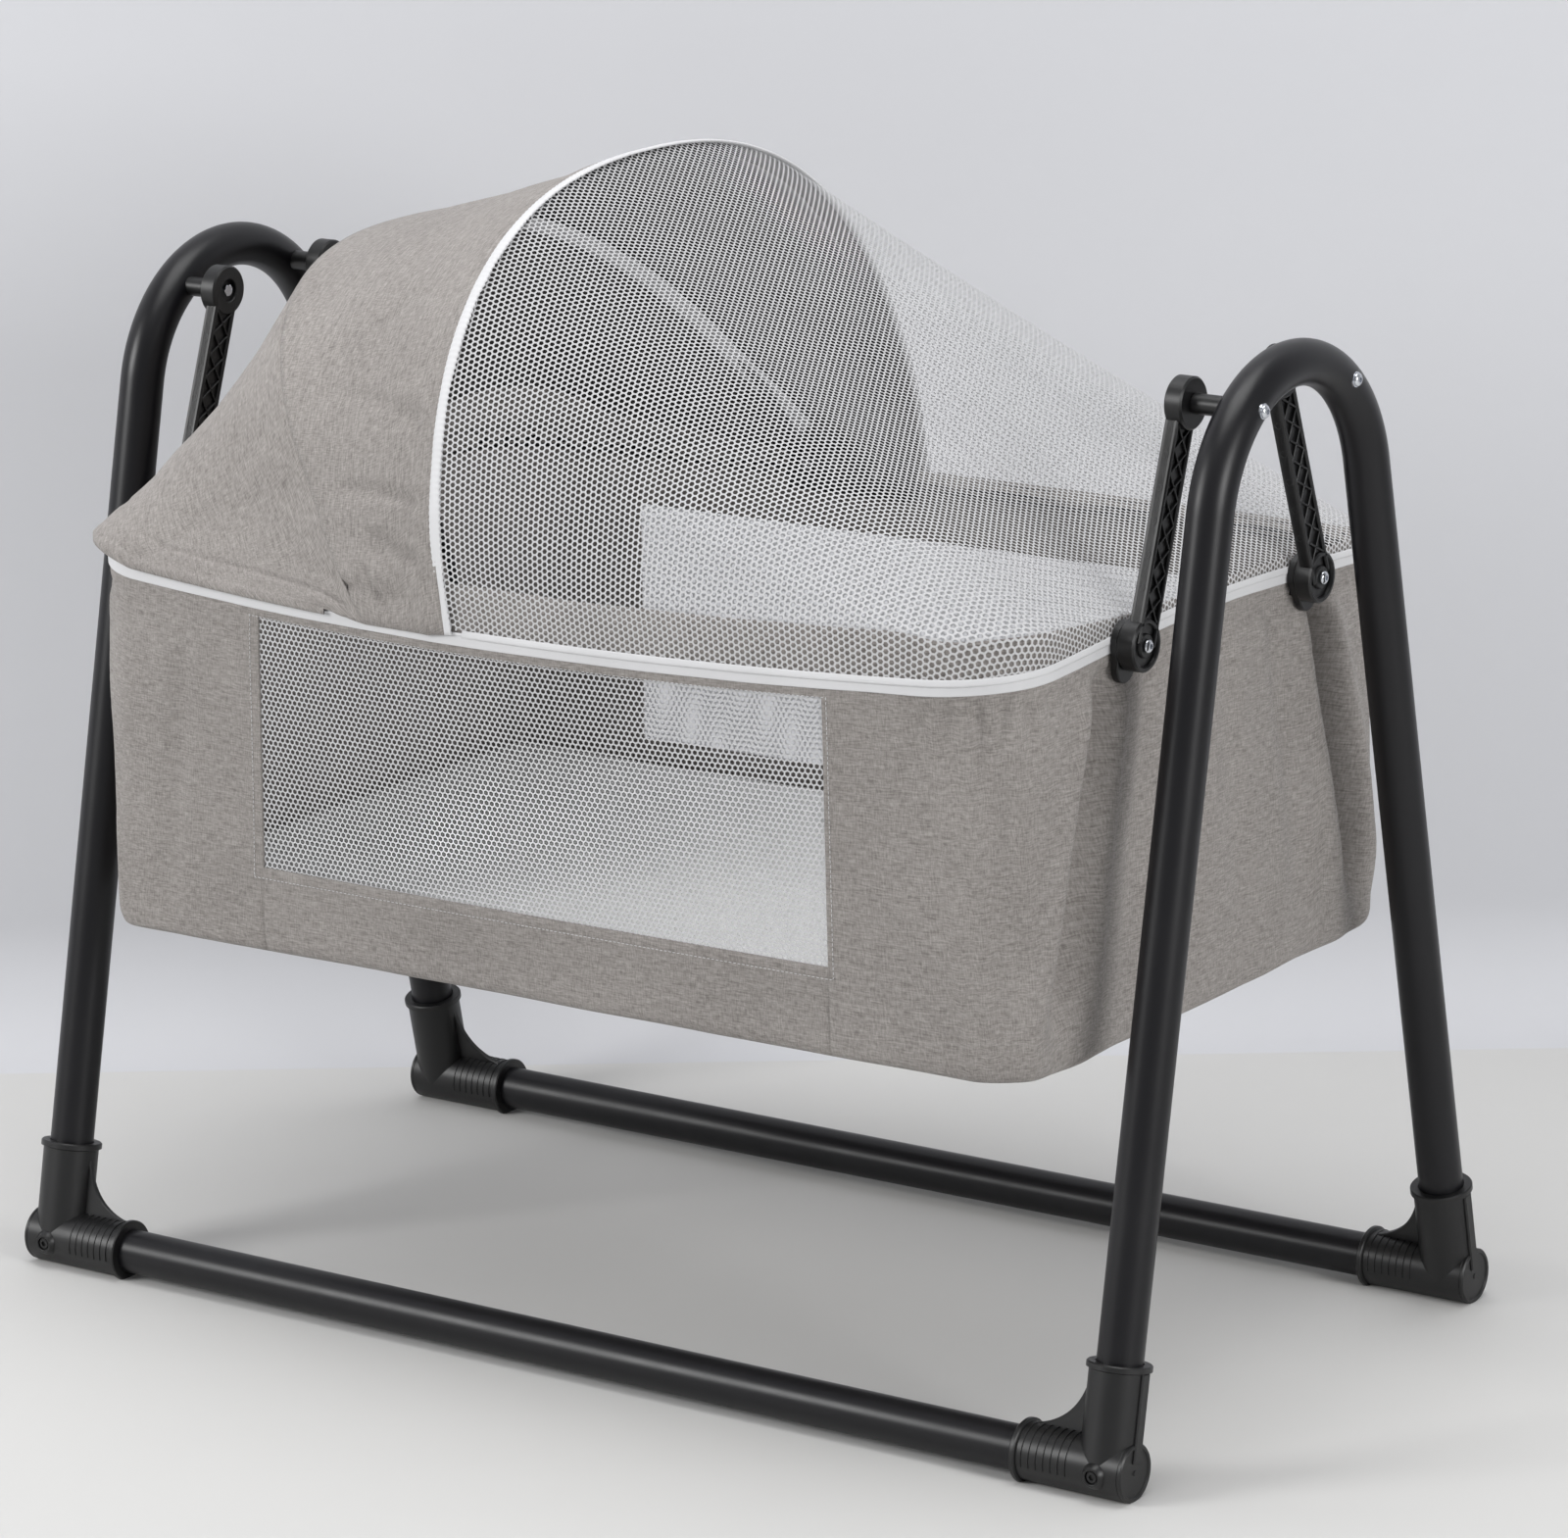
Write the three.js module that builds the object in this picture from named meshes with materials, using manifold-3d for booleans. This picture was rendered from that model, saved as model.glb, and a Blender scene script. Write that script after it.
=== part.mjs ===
// Bedside crib: a fabric basket that swings on four links between two arched tube frames, with
// a fold-back hood and a zipped net over it. Millimetres, +Z up, +X towards the foot end, the
// near side is -Y, and the origin is on the floor in the middle of the footprint.
import * as THREE from "three";
import { mergeVertices } from "three/addons/utils/BufferGeometryUtils.js";
import Module from "manifold-3d";

const wasm = await Module();
wasm.setup();

// Clearances that every piece shares
const seatGap = 0.3;
const boltClearance = 0.3;
const overrun = 3;

// Stand: two arched end frames on two floor rails
const tubeRadius = 19;
const tubeWall = 1.5;
const railSpread = 556;
const archRadius = 126;
const archCentreHeight = 735.6;

// Corner fittings, which join each leg to a rail
const fittingWall = 4.7;
const groundFlatDepth = 1;
const sleeveInboard = 78;
const sleeveOutboard = 25;
const endCapThickness = 4;
const collarWidth = 5;
const collarRise = 2.4;
const socketHeight = 85;
const legSeatHeight = 27;
const gussetThickness = 5;
const gussetLength = 74;
const gussetHeight = 74;
const gussetHollowShare = 1.5;
const strapWidth = 11;
const strapRise = 2.2;
const screwBossRadius = 8.5;
const screwBossRise = 3.4;

// Screws and bolts
const screwRadius = 2.8;
const screwLength = 19;
const screwHeadRadius = 4.8;
const screwHeadHeight = 3;
const hexKeyRadius = 2.3;
const hexKeyDepth = 1.8;
const boltRadius = 3;
const boltHeadRadius = 5.6;
const boltHeadHeight = 3.4;
const nutRadius = 5.6;
const nutHeight = 4.6;

// Swing links between the frames and the basket
const upperPivotHalf = 73;
const lowerPivotHalf = 138;
const linkLength = 194.5;
const bossRadius = 21.5;
const upperBossWidth = 16;
const lowerBossWidth = 16;
const barThickness = 12;
const barWidth = 27;
const barInset = 4;
const pocketDepth = 2.5;
const pocketBorder = 4.5;
const openPivotClearance = 2.2;
const nutRecessRadius = 9.5;
const nutRecessDepth = 5.2;
const spacerRadius = 8.5;
const spacerLength = 24.8;

// Basket rim, whose long sides bow out, and the fabric tub below it, which narrows to its bottom
const basketLength = 932;
const basketWidth = 696;
const sideBow = 43;
const footCornerRadius = 85;
const headCornerRadius = 90;
const rimBelowPivot = 15;
const cornerRise = 9;
const endCrown = 11;
const bottomSideInset = 55;
const bottomHeadInset = 5;
const bottomFootOverhang = 6;
const bottomHeadRadius = 28;
const bottomFootRadius = 60;
const leastBottomRadius = 6;
const rimRadius = 8;
const rimWall = 1.2;
const rimJointGap = 1;
const fabricThickness = 2;
const basketDepth = 318;
const hemTurn = 30;
const bandHeight = 11;
const bandThickness = 1.5;

// Windows in the long walls, and their nets
const nearWindowHead = -246;
const nearWindowFoot = 310;
const nearWindowTaper = [-33, -17];
const nearWindowStrip = 13;
const nearWindowSill = 80;
const farWindowHead = -328;
const farWindowFoot = 250;
const farWindowTaper = [16, 16];
const farWindowStrip = 53;
const farWindowSill = 56;
const netThickness = 0.8;
const netHem = 7;
const netPitchAlong = 80;
const netPitchUp = 36;
const netStrand = 5.5;

// Brackets that clip the rim tube to the lower pivots
const plateThickness = 7;
const plateRadius = 19;
const lugRadius = 13;
const lugDrop = 18;
const lugOutset = 5;
const jawHalfWidth = 11;
const jawDepth = 9;
const jawLip = 4;
const jawTopCover = 1.5;

// Board and mattress in the bottom of the tub
const boardThickness = 6;
const boardInset = 12;
const mattressThickness = 34;
const mattressCrown = 5;
const mattressInset = 7;
const mattressTuck = 3;

// Hood bows, their brackets and pins
const bowRadius = 4.5;
const frontBowX = -58;
const frontBowTilt = 97.4;
const frontBowHeight = 320;
const frontBowHalfWidth = 341;
const frontBowSquareness = 2.37;
const rearBowX = -132;
const rearBowTilt = 129.4;
const rearBowHeight = 319;
const rearBowHalfWidth = 318;
const rearBowSquareness = 2.42;
const bowPivotRise = 12;
const bowNeck = 24;
const bowShoulder = 130;
const eyeRadius = 8;
const pinRadius = 2.5;
const pinHeadRadius = 5;
const pinHeadHeight = 2.5;
const bowPlateThickness = 6;
const bowPlateHead = -160;
const bowPlateFoot = -24;
const bowPlateRise = 24;
const bowPlateCorner = 12;
const bowJawDepth = 6;
const bowJawReach = 16;

// Hood fabric and net cover
const hoodThickness = 1.6;
const hoodOffset = 8;
const frontHem = 17;
const frontHemRise = 3.5;
const hemLift = 1;
const hoodSag = 20;
const frontPanelSag = 5;
const tipOverhang = 10;
const tipLift = 15;
const headHemLift = 9;
const chordMargin = 1;
const coverThickness = 0.9;
const coverSag = 8;
const coverEndLift = 3;
const coverRunShare = 0.5;
const coverOpenRows = 3;
const coverOpenWidth = 110;
const coverStrand = 7;
const coverStrandShare = 0.1;

// Facets of round pieces
const tubeSides = 16;
const archSteps = 9;
const rodSides = 12;
const wireSides = 6;
const rimSides = 5;
const bowSteps = 26;
const wallRows = 3;

// Materials
const paint = (colour, roughness, metalness = 0) =>
  new THREE.MeshStandardMaterial({ color: colour, roughness, metalness });
const powderBlack = paint(0x1b1b1e, 0.42, 0.3);
const plasticBlack = paint(0x141414, 0.5);
const zinc = paint(0xb9bcc0, 0.3, 1);
const greyFabric = paint(0x8f8880, 0.95);
const whiteTape = paint(0xe9e9ea, 0.8);
const whiteNet = paint(0xdadbdd, 0.9);
const whiteCover = paint(0xe6e6e8, 0.9);
const boardWood = paint(0x9a8468, 0.8);

// Solids from geometry, and meshes from solids
function bodyOf(geometry) {
  const bare = geometry.index ? geometry.toNonIndexed() : geometry.clone();
  bare.deleteAttribute("normal");
  bare.deleteAttribute("uv");
  const merged = mergeVertices(bare, 1e-4);
  return new wasm.Manifold(
    new wasm.Mesh({
      numProp: 3,
      vertProperties: merged.attributes.position.array,
      triVerts: new Uint32Array(merged.index.array),
    }),
  );
}

function meshOf(name, body, material) {
  const data = body.getMesh();
  const geometry = new THREE.BufferGeometry();
  geometry.setAttribute("position", new THREE.BufferAttribute(data.vertProperties, 3));
  geometry.setIndex(new THREE.BufferAttribute(data.triVerts, 1));
  geometry.computeVertexNormals();
  const mesh = new THREE.Mesh(geometry, material);
  mesh.name = name;
  return mesh;
}

// A closed surface from points and triangles, turned so that its faces point out
function closedSurface(points, faces) {
  let volume = 0;
  for (let i = 0; i < faces.length; i += 3) {
    const [a, b, c] = [points[faces[i]], points[faces[i + 1]], points[faces[i + 2]]];
    volume += a.dot(new THREE.Vector3().crossVectors(b, c));
  }
  const geometry = new THREE.BufferGeometry();
  geometry.setAttribute(
    "position",
    new THREE.Float32BufferAttribute(points.flatMap((p) => [p.x, p.y, p.z]), 3),
  );
  geometry.setIndex(volume < 0 ? faces.slice().reverse() : faces);
  return bodyOf(geometry);
}

// A skin over rings of equal counts: looped runs back to the first ring, otherwise fans close it
function loft(rings, looped = false) {
  const count = rings[0].length;
  const points = rings.flat();
  const faces = [];
  const bands = looped ? rings.length : rings.length - 1;
  for (let i = 0; i < bands; i++) {
    const next = (i + 1) % rings.length;
    for (let j = 0; j < count; j++) {
      const k = (j + 1) % count;
      const [a, b, c, d] = [i * count + j, i * count + k, next * count + k, next * count + j];
      faces.push(a, b, c, a, c, d);
    }
  }
  if (!looped) {
    for (const [start, turned] of [[0, true], [(rings.length - 1) * count, false]]) {
      const centre = new THREE.Vector3();
      for (let j = 0; j < count; j++) centre.addScaledVector(points[start + j], 1 / count);
      points.push(centre);
      for (let j = 0; j < count; j++) {
        const [a, b] = [start + j, start + ((j + 1) % count)];
        faces.push(...(turned ? [points.length - 1, b, a] : [points.length - 1, a, b]));
      }
    }
  }
  return closedSurface(points, faces);
}

// A thick sheet between two grids of points, rows by columns, without its open cells
function slab(front, back, isOpen = () => false) {
  const rows = front.length;
  const columns = front[0].length;
  const points = [...front.flat(), ...back.flat()];
  const at = (side, i, j) => side * rows * columns + i * columns + j;
  const inside = (i, j) => i >= 0 && j >= 0 && i < rows - 1 && j < columns - 1;
  const filled = (i, j) => inside(i, j) && !isOpen(i, j);
  const faces = [];
  const quad = (a, b, c, d) => faces.push(a, b, c, a, c, d);
  for (let i = 0; i < rows - 1; i++) {
    for (let j = 0; j < columns - 1; j++) {
      if (!filled(i, j)) continue;
      const [k, l] = [i + 1, j + 1];
      quad(at(0, i, j), at(0, i, l), at(0, k, l), at(0, k, j));
      quad(at(1, i, j), at(1, k, j), at(1, k, l), at(1, i, l));
      if (!filled(i, j - 1)) quad(at(0, i, j), at(0, k, j), at(1, k, j), at(1, i, j));
      if (!filled(i, l)) quad(at(0, i, l), at(1, i, l), at(1, k, l), at(0, k, l));
      if (!filled(i - 1, j)) quad(at(0, i, j), at(1, i, j), at(1, i, l), at(0, i, l));
      if (!filled(k, j)) quad(at(0, k, j), at(0, k, l), at(1, k, l), at(1, k, j));
    }
  }
  return closedSurface(points, faces);
}

// A sheet from a surface given by row, column and depth below its outer face
function sheetOf(surface, rows, columns, thickness) {
  const grid = (depth) =>
    Array.from({ length: rows }, (_, i) =>
      Array.from({ length: columns }, (_, j) => surface(i, j, depth)),
    );
  return slab(grid(0), grid(thickness));
}

// A round bar from one point to another
function rod(from, to, radius, sides = rodSides) {
  const axis = to.clone().sub(from);
  const geometry = new THREE.CylinderGeometry(radius, radius, axis.length(), sides);
  const turn = new THREE.Quaternion().setFromUnitVectors(
    new THREE.Vector3(0, 1, 0),
    axis.clone().normalize(),
  );
  geometry.applyQuaternion(turn);
  const middle = from.clone().add(to).multiplyScalar(0.5);
  geometry.translate(middle.x, middle.y, middle.z);
  return bodyOf(geometry);
}

// A box between two corners
function block(low, high) {
  const size = high.clone().sub(low);
  const middle = low.clone().add(high).multiplyScalar(0.5);
  const geometry = new THREE.BoxGeometry(size.x, size.y, size.z);
  geometry.translate(middle.x, middle.y, middle.z);
  return bodyOf(geometry);
}

// A flat outline pushed along the third axis of a frame of three directions
function plate(shape, thickness, across, up, through, origin, curveSegments = 8) {
  const geometry = new THREE.ExtrudeGeometry(shape, {
    depth: thickness,
    bevelEnabled: false,
    curveSegments,
  });
  const matrix = new THREE.Matrix4().makeBasis(across, up, through).setPosition(origin);
  geometry.applyMatrix4(matrix);
  const body = bodyOf(geometry);
  return matrix.determinant() < 0 ? closedCopy(body) : body;
}

// A body whose faces were turned in by a mirrored frame, with its faces pointing out again
function closedCopy(body) {
  const data = body.getMesh();
  const points = [];
  for (let i = 0; i < data.vertProperties.length; i += 3) {
    points.push(new THREE.Vector3(...data.vertProperties.slice(i, i + 3)));
  }
  return closedSurface(points, Array.from(data.triVerts));
}

function ring(centre, tangent, reference, radius, sides) {
  const side = new THREE.Vector3().crossVectors(reference, tangent).normalize();
  const up = new THREE.Vector3().crossVectors(tangent, side).normalize();
  const points = [];
  for (let i = 0; i < sides; i++) {
    const a = (2 * Math.PI * i) / sides;
    points.push(
      centre
        .clone()
        .addScaledVector(side, radius * Math.cos(a))
        .addScaledVector(up, radius * Math.sin(a)),
    );
  }
  return points;
}

// Round tube or bar along a path of points; an inner radius above zero makes it hollow
function tubeAlong(path, radius, innerRadius, sides, reference) {
  const tangent = (i) => {
    const ahead = path[Math.min(i + 1, path.length - 1)];
    return ahead.clone().sub(path[Math.max(i - 1, 0)]).normalize();
  };
  const rings = (r) => path.map((p, i) => ring(p, tangent(i), reference, r, sides));
  const outer = rings(radius);
  if (innerRadius <= 0) return loft(outer);
  return loft([...outer, ...rings(innerRadius).reverse()], true);
}

const vec = (x, y, z) => new THREE.Vector3(x, y, z);
const xAxis = vec(1, 0, 0);
const yAxis = vec(0, 1, 0);
const zAxis = vec(0, 0, 1);

// Stack of pieces along x from the rim outwards, at the +X end
const rimHalfX = basketLength / 2;
const bandFace = rimHalfX + bandThickness;
const plateInner = bandFace + seatGap;
const plateOuter = plateInner + plateThickness;
const lowerBossInner = plateOuter + seatGap;
const lowerBossOuter = lowerBossInner + lowerBossWidth;
const barInner = lowerBossInner + barInset;
const barOuter = barInner + barThickness;
const upperBossInner = barInner + seatGap;
const upperBossOuter = upperBossInner + upperBossWidth;
const frameX = upperBossOuter + seatGap + spacerLength + tubeRadius;

// Places that the stand sets
const sleeveRadius = tubeRadius + seatGap + fittingWall;
const boreRadius = tubeRadius + seatGap;
const railZ = sleeveRadius - groundFlatDepth;
const railY = railSpread / 2;
const archRise = archCentreHeight - railZ;
const lean =
  Math.acos(archRadius / Math.hypot(railY, archRise)) - Math.atan2(archRise, railY);
const legDirection = vec(0, -Math.sin(lean), Math.cos(lean));
const legNormal = vec(0, Math.cos(lean), Math.sin(lean));
const legPoint = (distance) => vec(frameX, railY, railZ).addScaledVector(legDirection, distance);

// Places of the pivots
const upperPivotZ = archCentreHeight + Math.sqrt(archRadius ** 2 - upperPivotHalf ** 2);
const pivotSplay = lowerPivotHalf - upperPivotHalf;
const lowerPivotZ = upperPivotZ - Math.sqrt(linkLength ** 2 - pivotSplay ** 2);

// Places of the rim, measured at its outer face of fabric
const rimHalfY = basketWidth / 2;
const bottomHalfY = rimHalfY - bottomSideInset;
const endHalfY = rimHalfY - sideBow;
const hemSteps = 4;
const hemInnerRadius = (rimRadius + seatGap) / Math.cos(Math.PI / (2 * hemSteps));
const rimAxisInset = fabricThickness + hemInnerRadius;
const rimSideZ = lowerPivotZ - rimBelowPivot;
const tubBottomZ = rimSideZ - basketDepth;

function rimHeight(x, y) {
  const alongShare = (x / rimHalfX) ** 2;
  const acrossShare = Math.max(1 - (y / endHalfY) ** 2, 0) ** 2;
  return rimSideZ + (cornerRise + endCrown * acrossShare) * alongShare;
}

// Points of a rounded outline with their outward normals, from the middle of the head end along
// the near side to the foot end, and back along the far side
function outline(shape, cornerSteps = 4, longSteps = 6, endSteps = 2) {
  const bowed = (x) => shape.halfY - shape.bow * (x / rimHalfX) ** 2;
  const line = (from, to, steps) =>
    Array.from({ length: steps - 1 }, (_, i) => from + ((to - from) * (i + 1)) / steps);
  const corner = (end, reach, radius) => {
    const slope = Math.atan((2 * shape.bow * (reach - radius)) / rimHalfX ** 2);
    const joint = reach - radius * (1 - Math.sin(slope));
    const centreY = bowed(joint) - radius * Math.cos(slope);
    return Array.from({ length: cornerSteps + 1 }, (_, i) => {
      const a = slope + (Math.PI / 2 - slope) * (i / cornerSteps);
      const [nx, ny] = [Math.sin(a), Math.cos(a)];
      return {
        x: end * (reach - radius + radius * nx),
        y: centreY + radius * ny,
        nx: end * nx,
        ny,
      };
    });
  };
  const head = corner(-1, shape.head, shape.headRadius).reverse();
  const foot = corner(1, shape.foot, shape.footRadius);
  const endPoint = (end, reach, y) => ({ x: end * reach, y, nx: end, ny: 0 });
  const half = [
    endPoint(-1, shape.head, 0),
    ...line(0, head[0].y, endSteps).map((y) => endPoint(-1, shape.head, y)),
    ...head,
    ...line(head[cornerSteps].x, foot[0].x, longSteps).map((x) => {
      const a = Math.atan((2 * shape.bow * x) / rimHalfX ** 2);
      return { x, y: bowed(x), nx: Math.sin(a), ny: Math.cos(a) };
    }),
    ...foot,
    ...line(foot[cornerSteps].y, 0, endSteps).map((y) => endPoint(1, shape.foot, y)),
    endPoint(1, shape.foot, 0),
  ];
  const near = half.map((p) => ({ ...p, y: -p.y, ny: -p.ny }));
  return [...near, ...half.slice(1, -1).reverse()];
}
const stations = outline({
  head: rimHalfX,
  foot: rimHalfX,
  halfY: rimHalfY,
  bow: sideBow,
  headRadius: headCornerRadius,
  footRadius: footCornerRadius,
}).map((s) => ({ ...s, z: rimHeight(s.x, s.y) }));
const nearStations = stations.slice(0, stations.length / 2 + 1);
const rimPlace = (s, out, z) => vec(s.x + s.nx * out, s.y + s.ny * out, z);

// Bottom outline of the tub, drawn in by an inset, at one height
function insetRing(inset, z) {
  const radius = (r) => Math.max(r - inset, leastBottomRadius);
  return outline({
    head: rimHalfX - bottomHeadInset - inset,
    foot: rimHalfX + bottomFootOverhang - inset,
    halfY: bottomHalfY - inset,
    bow: 0,
    headRadius: radius(bottomHeadRadius),
    footRadius: radius(bottomFootRadius),
  }).map((p) => vec(p.x, p.y, z));
}
const wallTopZ = rimSideZ - rimRadius;
const wallFootZ = tubBottomZ + hemTurn;

// Half-width of the rim at an x, along the chords between its stations
function rimHalfWidth(x) {
  const next = nearStations.findIndex((s) => s.x >= x);
  const [a, b] = [nearStations[next - 1], nearStations[next]];
  return -(a.y + ((b.y - a.y) * (x - a.x)) / (b.x - a.x));
}

// Half-width of the tub's outer face at an x and a height
function wallHalfWidth(x, z) {
  const share = THREE.MathUtils.clamp((z - wallFootZ) / (wallTopZ - wallFootZ), 0, 1);
  return bottomHalfY + (rimHalfWidth(x) - bottomHalfY) * share;
}

// Corner fitting, modelled at the +X +Y corner
function cornerFitting() {
  const inboard = frameX - sleeveInboard;
  const outboard = frameX + sleeveOutboard;
  const onRail = (x) => vec(x, railY, railZ);
  const collarRadius = sleeveRadius + collarRise;
  let body = rod(onRail(inboard), onRail(outboard), sleeveRadius, tubeSides)
    .add(rod(onRail(inboard), onRail(inboard + collarWidth), collarRadius, tubeSides))
    .add(rod(legPoint(0), legPoint(socketHeight), sleeveRadius, tubeSides))
    .add(rod(legPoint(socketHeight - collarWidth), legPoint(socketHeight), collarRadius, tubeSides));
  const gussetHollow = sleeveRadius * gussetHollowShare;
  const web = new THREE.Shape();
  web.moveTo(0, 0);
  web.lineTo(gussetLength, 0);
  web.lineTo(gussetLength, sleeveRadius);
  web.quadraticCurveTo(gussetHollow, gussetHollow, sleeveRadius, gussetHeight);
  web.lineTo(0, gussetHeight);
  const webStart = legPoint(0).addScaledVector(legNormal, -gussetThickness / 2);
  body = body.add(plate(web, gussetThickness, vec(-1, 0, 0), legDirection, legNormal, webStart, 4));
  const strap = new THREE.Shape();
  strap.moveTo(-strapWidth / 2, 0);
  strap.lineTo(strapWidth / 2, 0);
  strap.lineTo(strapWidth / 2, socketHeight - collarWidth);
  strap.lineTo(-strapWidth / 2, socketHeight - collarWidth);
  const strapDepth = sleeveRadius + strapRise;
  body = body.add(plate(strap, strapDepth, xAxis, legDirection, legNormal, legPoint(0)));
  const bossFace = railY + sleeveRadius + screwBossRise;
  body = body.add(rod(onRail(frameX), vec(frameX, bossFace, railZ), screwBossRadius));
  const inner = outboard - endCapThickness;
  return body
    .subtract(rod(onRail(inboard - overrun), onRail(inner), boreRadius, tubeSides))
    .subtract(rod(legPoint(legSeatHeight), legPoint(socketHeight + overrun), boreRadius, tubeSides))
    .subtract(rod(vec(frameX, railY, railZ), vec(frameX, bossFace + overrun, railZ), screwRadius + boltClearance))
    .subtract(
      rod(
        vec(frameX, bossFace - screwHeadHeight - seatGap, railZ),
        vec(frameX, bossFace + overrun, railZ),
        screwHeadRadius + boltClearance,
      ),
    )
    .subtract(
      block(
        vec(inboard - overrun, 0, -sleeveRadius),
        vec(outboard + overrun, railSpread, 0),
      ),
    );
}

// Socket screw through the boss into the rail
function cornerScrew() {
  const top = railY + sleeveRadius + screwBossRise - seatGap;
  const at = (y) => vec(frameX, y, railZ);
  return rod(at(top - screwHeadHeight), at(top), screwHeadRadius)
    .add(rod(at(top - screwLength), at(top - screwHeadHeight / 2), screwRadius))
    .subtract(rod(at(top - hexKeyDepth), at(top + overrun), hexKeyRadius, 6));
}

// Floor rail on one side, drilled for its two screws
function floorRail(side) {
  const end = frameX + sleeveOutboard - endCapThickness - seatGap;
  const at = (x, y = side * railY) => vec(x, y, railZ);
  let body = tubeAlong(
    [at(-end), at(end)],
    tubeRadius,
    tubeRadius - tubeWall,
    tubeSides,
    zAxis,
  );
  for (const x of [-frameX, frameX]) {
    const outside = side * (railY + tubeRadius + overrun);
    body = body.subtract(rod(at(x), at(x, outside), screwRadius + boltClearance));
  }
  return body;
}

// Path of an end frame at an x: up one leg, over the arch and down the other
function framePath(x, start = legSeatHeight + seatGap) {
  const path = [legPoint(start).setX(x)];
  const from = lean;
  const sweep = Math.PI - 2 * lean;
  for (let i = 0; i <= archSteps; i++) {
    const a = from + (sweep * i) / archSteps;
    path.push(vec(x, archRadius * Math.cos(a), archCentreHeight + archRadius * Math.sin(a)));
  }
  path.push(legPoint(start).multiply(vec(1, -1, 1)).setX(x));
  return path;
}

function endFrame(end) {
  let body = tubeAlong(
    framePath(end * frameX),
    tubeRadius,
    tubeRadius - tubeWall,
    tubeSides,
    xAxis,
  );
  for (const side of [-1, 1]) {
    const at = (x) => vec(end * x, side * upperPivotHalf, upperPivotZ);
    body = body.subtract(
      rod(
        at(frameX - tubeRadius - overrun),
        at(frameX + tubeRadius + overrun),
        boltRadius + boltClearance,
      ),
    );
  }
  return body;
}

const upperPivot = (x) => vec(x, upperPivotHalf, upperPivotZ);
const lowerPivot = (x) => vec(x, lowerPivotHalf, lowerPivotZ);

// Link with a boss at each pivot, modelled at the +X +Y corner
function swingArm() {
  const down = lowerPivot(0).sub(upperPivot(0)).normalize();
  const across = new THREE.Vector3().crossVectors(down, xAxis).normalize();
  const outline = (half, start, end) => {
    const shape = new THREE.Shape();
    shape.moveTo(-half, start);
    shape.lineTo(half, start);
    shape.lineTo(half, end);
    shape.lineTo(-half, end);
    return shape;
  };
  const sheetAt = (shape, thickness, x) => plate(shape, thickness, across, down, xAxis, upperPivot(x));
  let body = sheetAt(outline(barWidth / 2, 0, linkLength), barThickness, barInner)
    .add(rod(upperPivot(upperBossInner), upperPivot(upperBossOuter), bossRadius, tubeSides))
    .add(rod(lowerPivot(lowerBossInner), lowerPivot(lowerBossOuter), bossRadius, tubeSides));
  const pocketHalf = barWidth / 2 - pocketBorder;
  const pocket = outline(pocketHalf, bossRadius + pocketBorder, linkLength - bossRadius - pocketBorder);
  body = body
    .subtract(sheetAt(pocket, pocketDepth + overrun, barOuter - pocketDepth))
    .subtract(sheetAt(pocket, pocketDepth + overrun, barInner - overrun))
    .subtract(
      rod(
        upperPivot(upperBossInner - overrun),
        upperPivot(upperBossOuter + overrun),
        boltRadius + boltClearance,
      ),
    )
    .subtract(
      rod(
        upperPivot(barInner - overrun),
        upperPivot(upperBossInner + nutRecessDepth),
        nutRecessRadius,
      ),
    );
  return body.subtract(
    rod(
      lowerPivot(lowerBossInner - overrun),
      lowerPivot(lowerBossOuter + overrun),
      boltRadius + openPivotClearance,
    ),
  );
}

// Barrel between the link and the frame tube, cut to sit on the tube
function pivotSpacer() {
  const body = rod(upperPivot(upperBossOuter + seatGap), upperPivot(frameX), spacerRadius);
  return body
    .subtract(tubeAlong(framePath(frameX), boreRadius, 0, tubeSides, xAxis))
    .subtract(
      rod(upperPivot(upperBossOuter - overrun), upperPivot(frameX), boltRadius + boltClearance),
    );
}

// Bolt along x from a head at the outer end, with a hexagon socket
function boltBetween(place, inner, seat) {
  return rod(place(seat), place(seat + boltHeadHeight), boltHeadRadius)
    .add(rod(place(inner), place(seat + boltHeadHeight / 2), boltRadius))
    .subtract(
      rod(place(seat + boltHeadHeight - hexKeyDepth), place(seat + boltHeadHeight + overrun), hexKeyRadius, 6),
    );
}
const nutOuter = upperBossInner + nutRecessDepth - seatGap;
const nutInner = nutOuter - nutHeight;
const upperBolt = () => boltBetween(upperPivot, nutInner, frameX + tubeRadius + seatGap);
const lowerBolt = () => boltBetween(lowerPivot, plateInner + seatGap, lowerBossOuter + seatGap);

function upperNut() {
  return rod(upperPivot(nutInner), upperPivot(nutOuter), nutRadius, 6).subtract(
    rod(upperPivot(nutInner - overrun), upperPivot(nutOuter + overrun), boltRadius + boltClearance),
  );
}

// Bracket under the rim tube at the foot end, with the plate that the lower bolt screws into
const jawRimZ = rimHeight(rimHalfX, lowerPivotHalf);
const bandLowZ = jawRimZ - bandHeight / 2;
const jawTopZ = bandLowZ - seatGap - jawTopCover;
const jawBottomZ = jawRimZ - rimRadius - jawDepth;
const rimAxisX = rimHalfX - rimAxisInset;
const jawInnerX = rimAxisX - rimRadius - jawLip;

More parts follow.
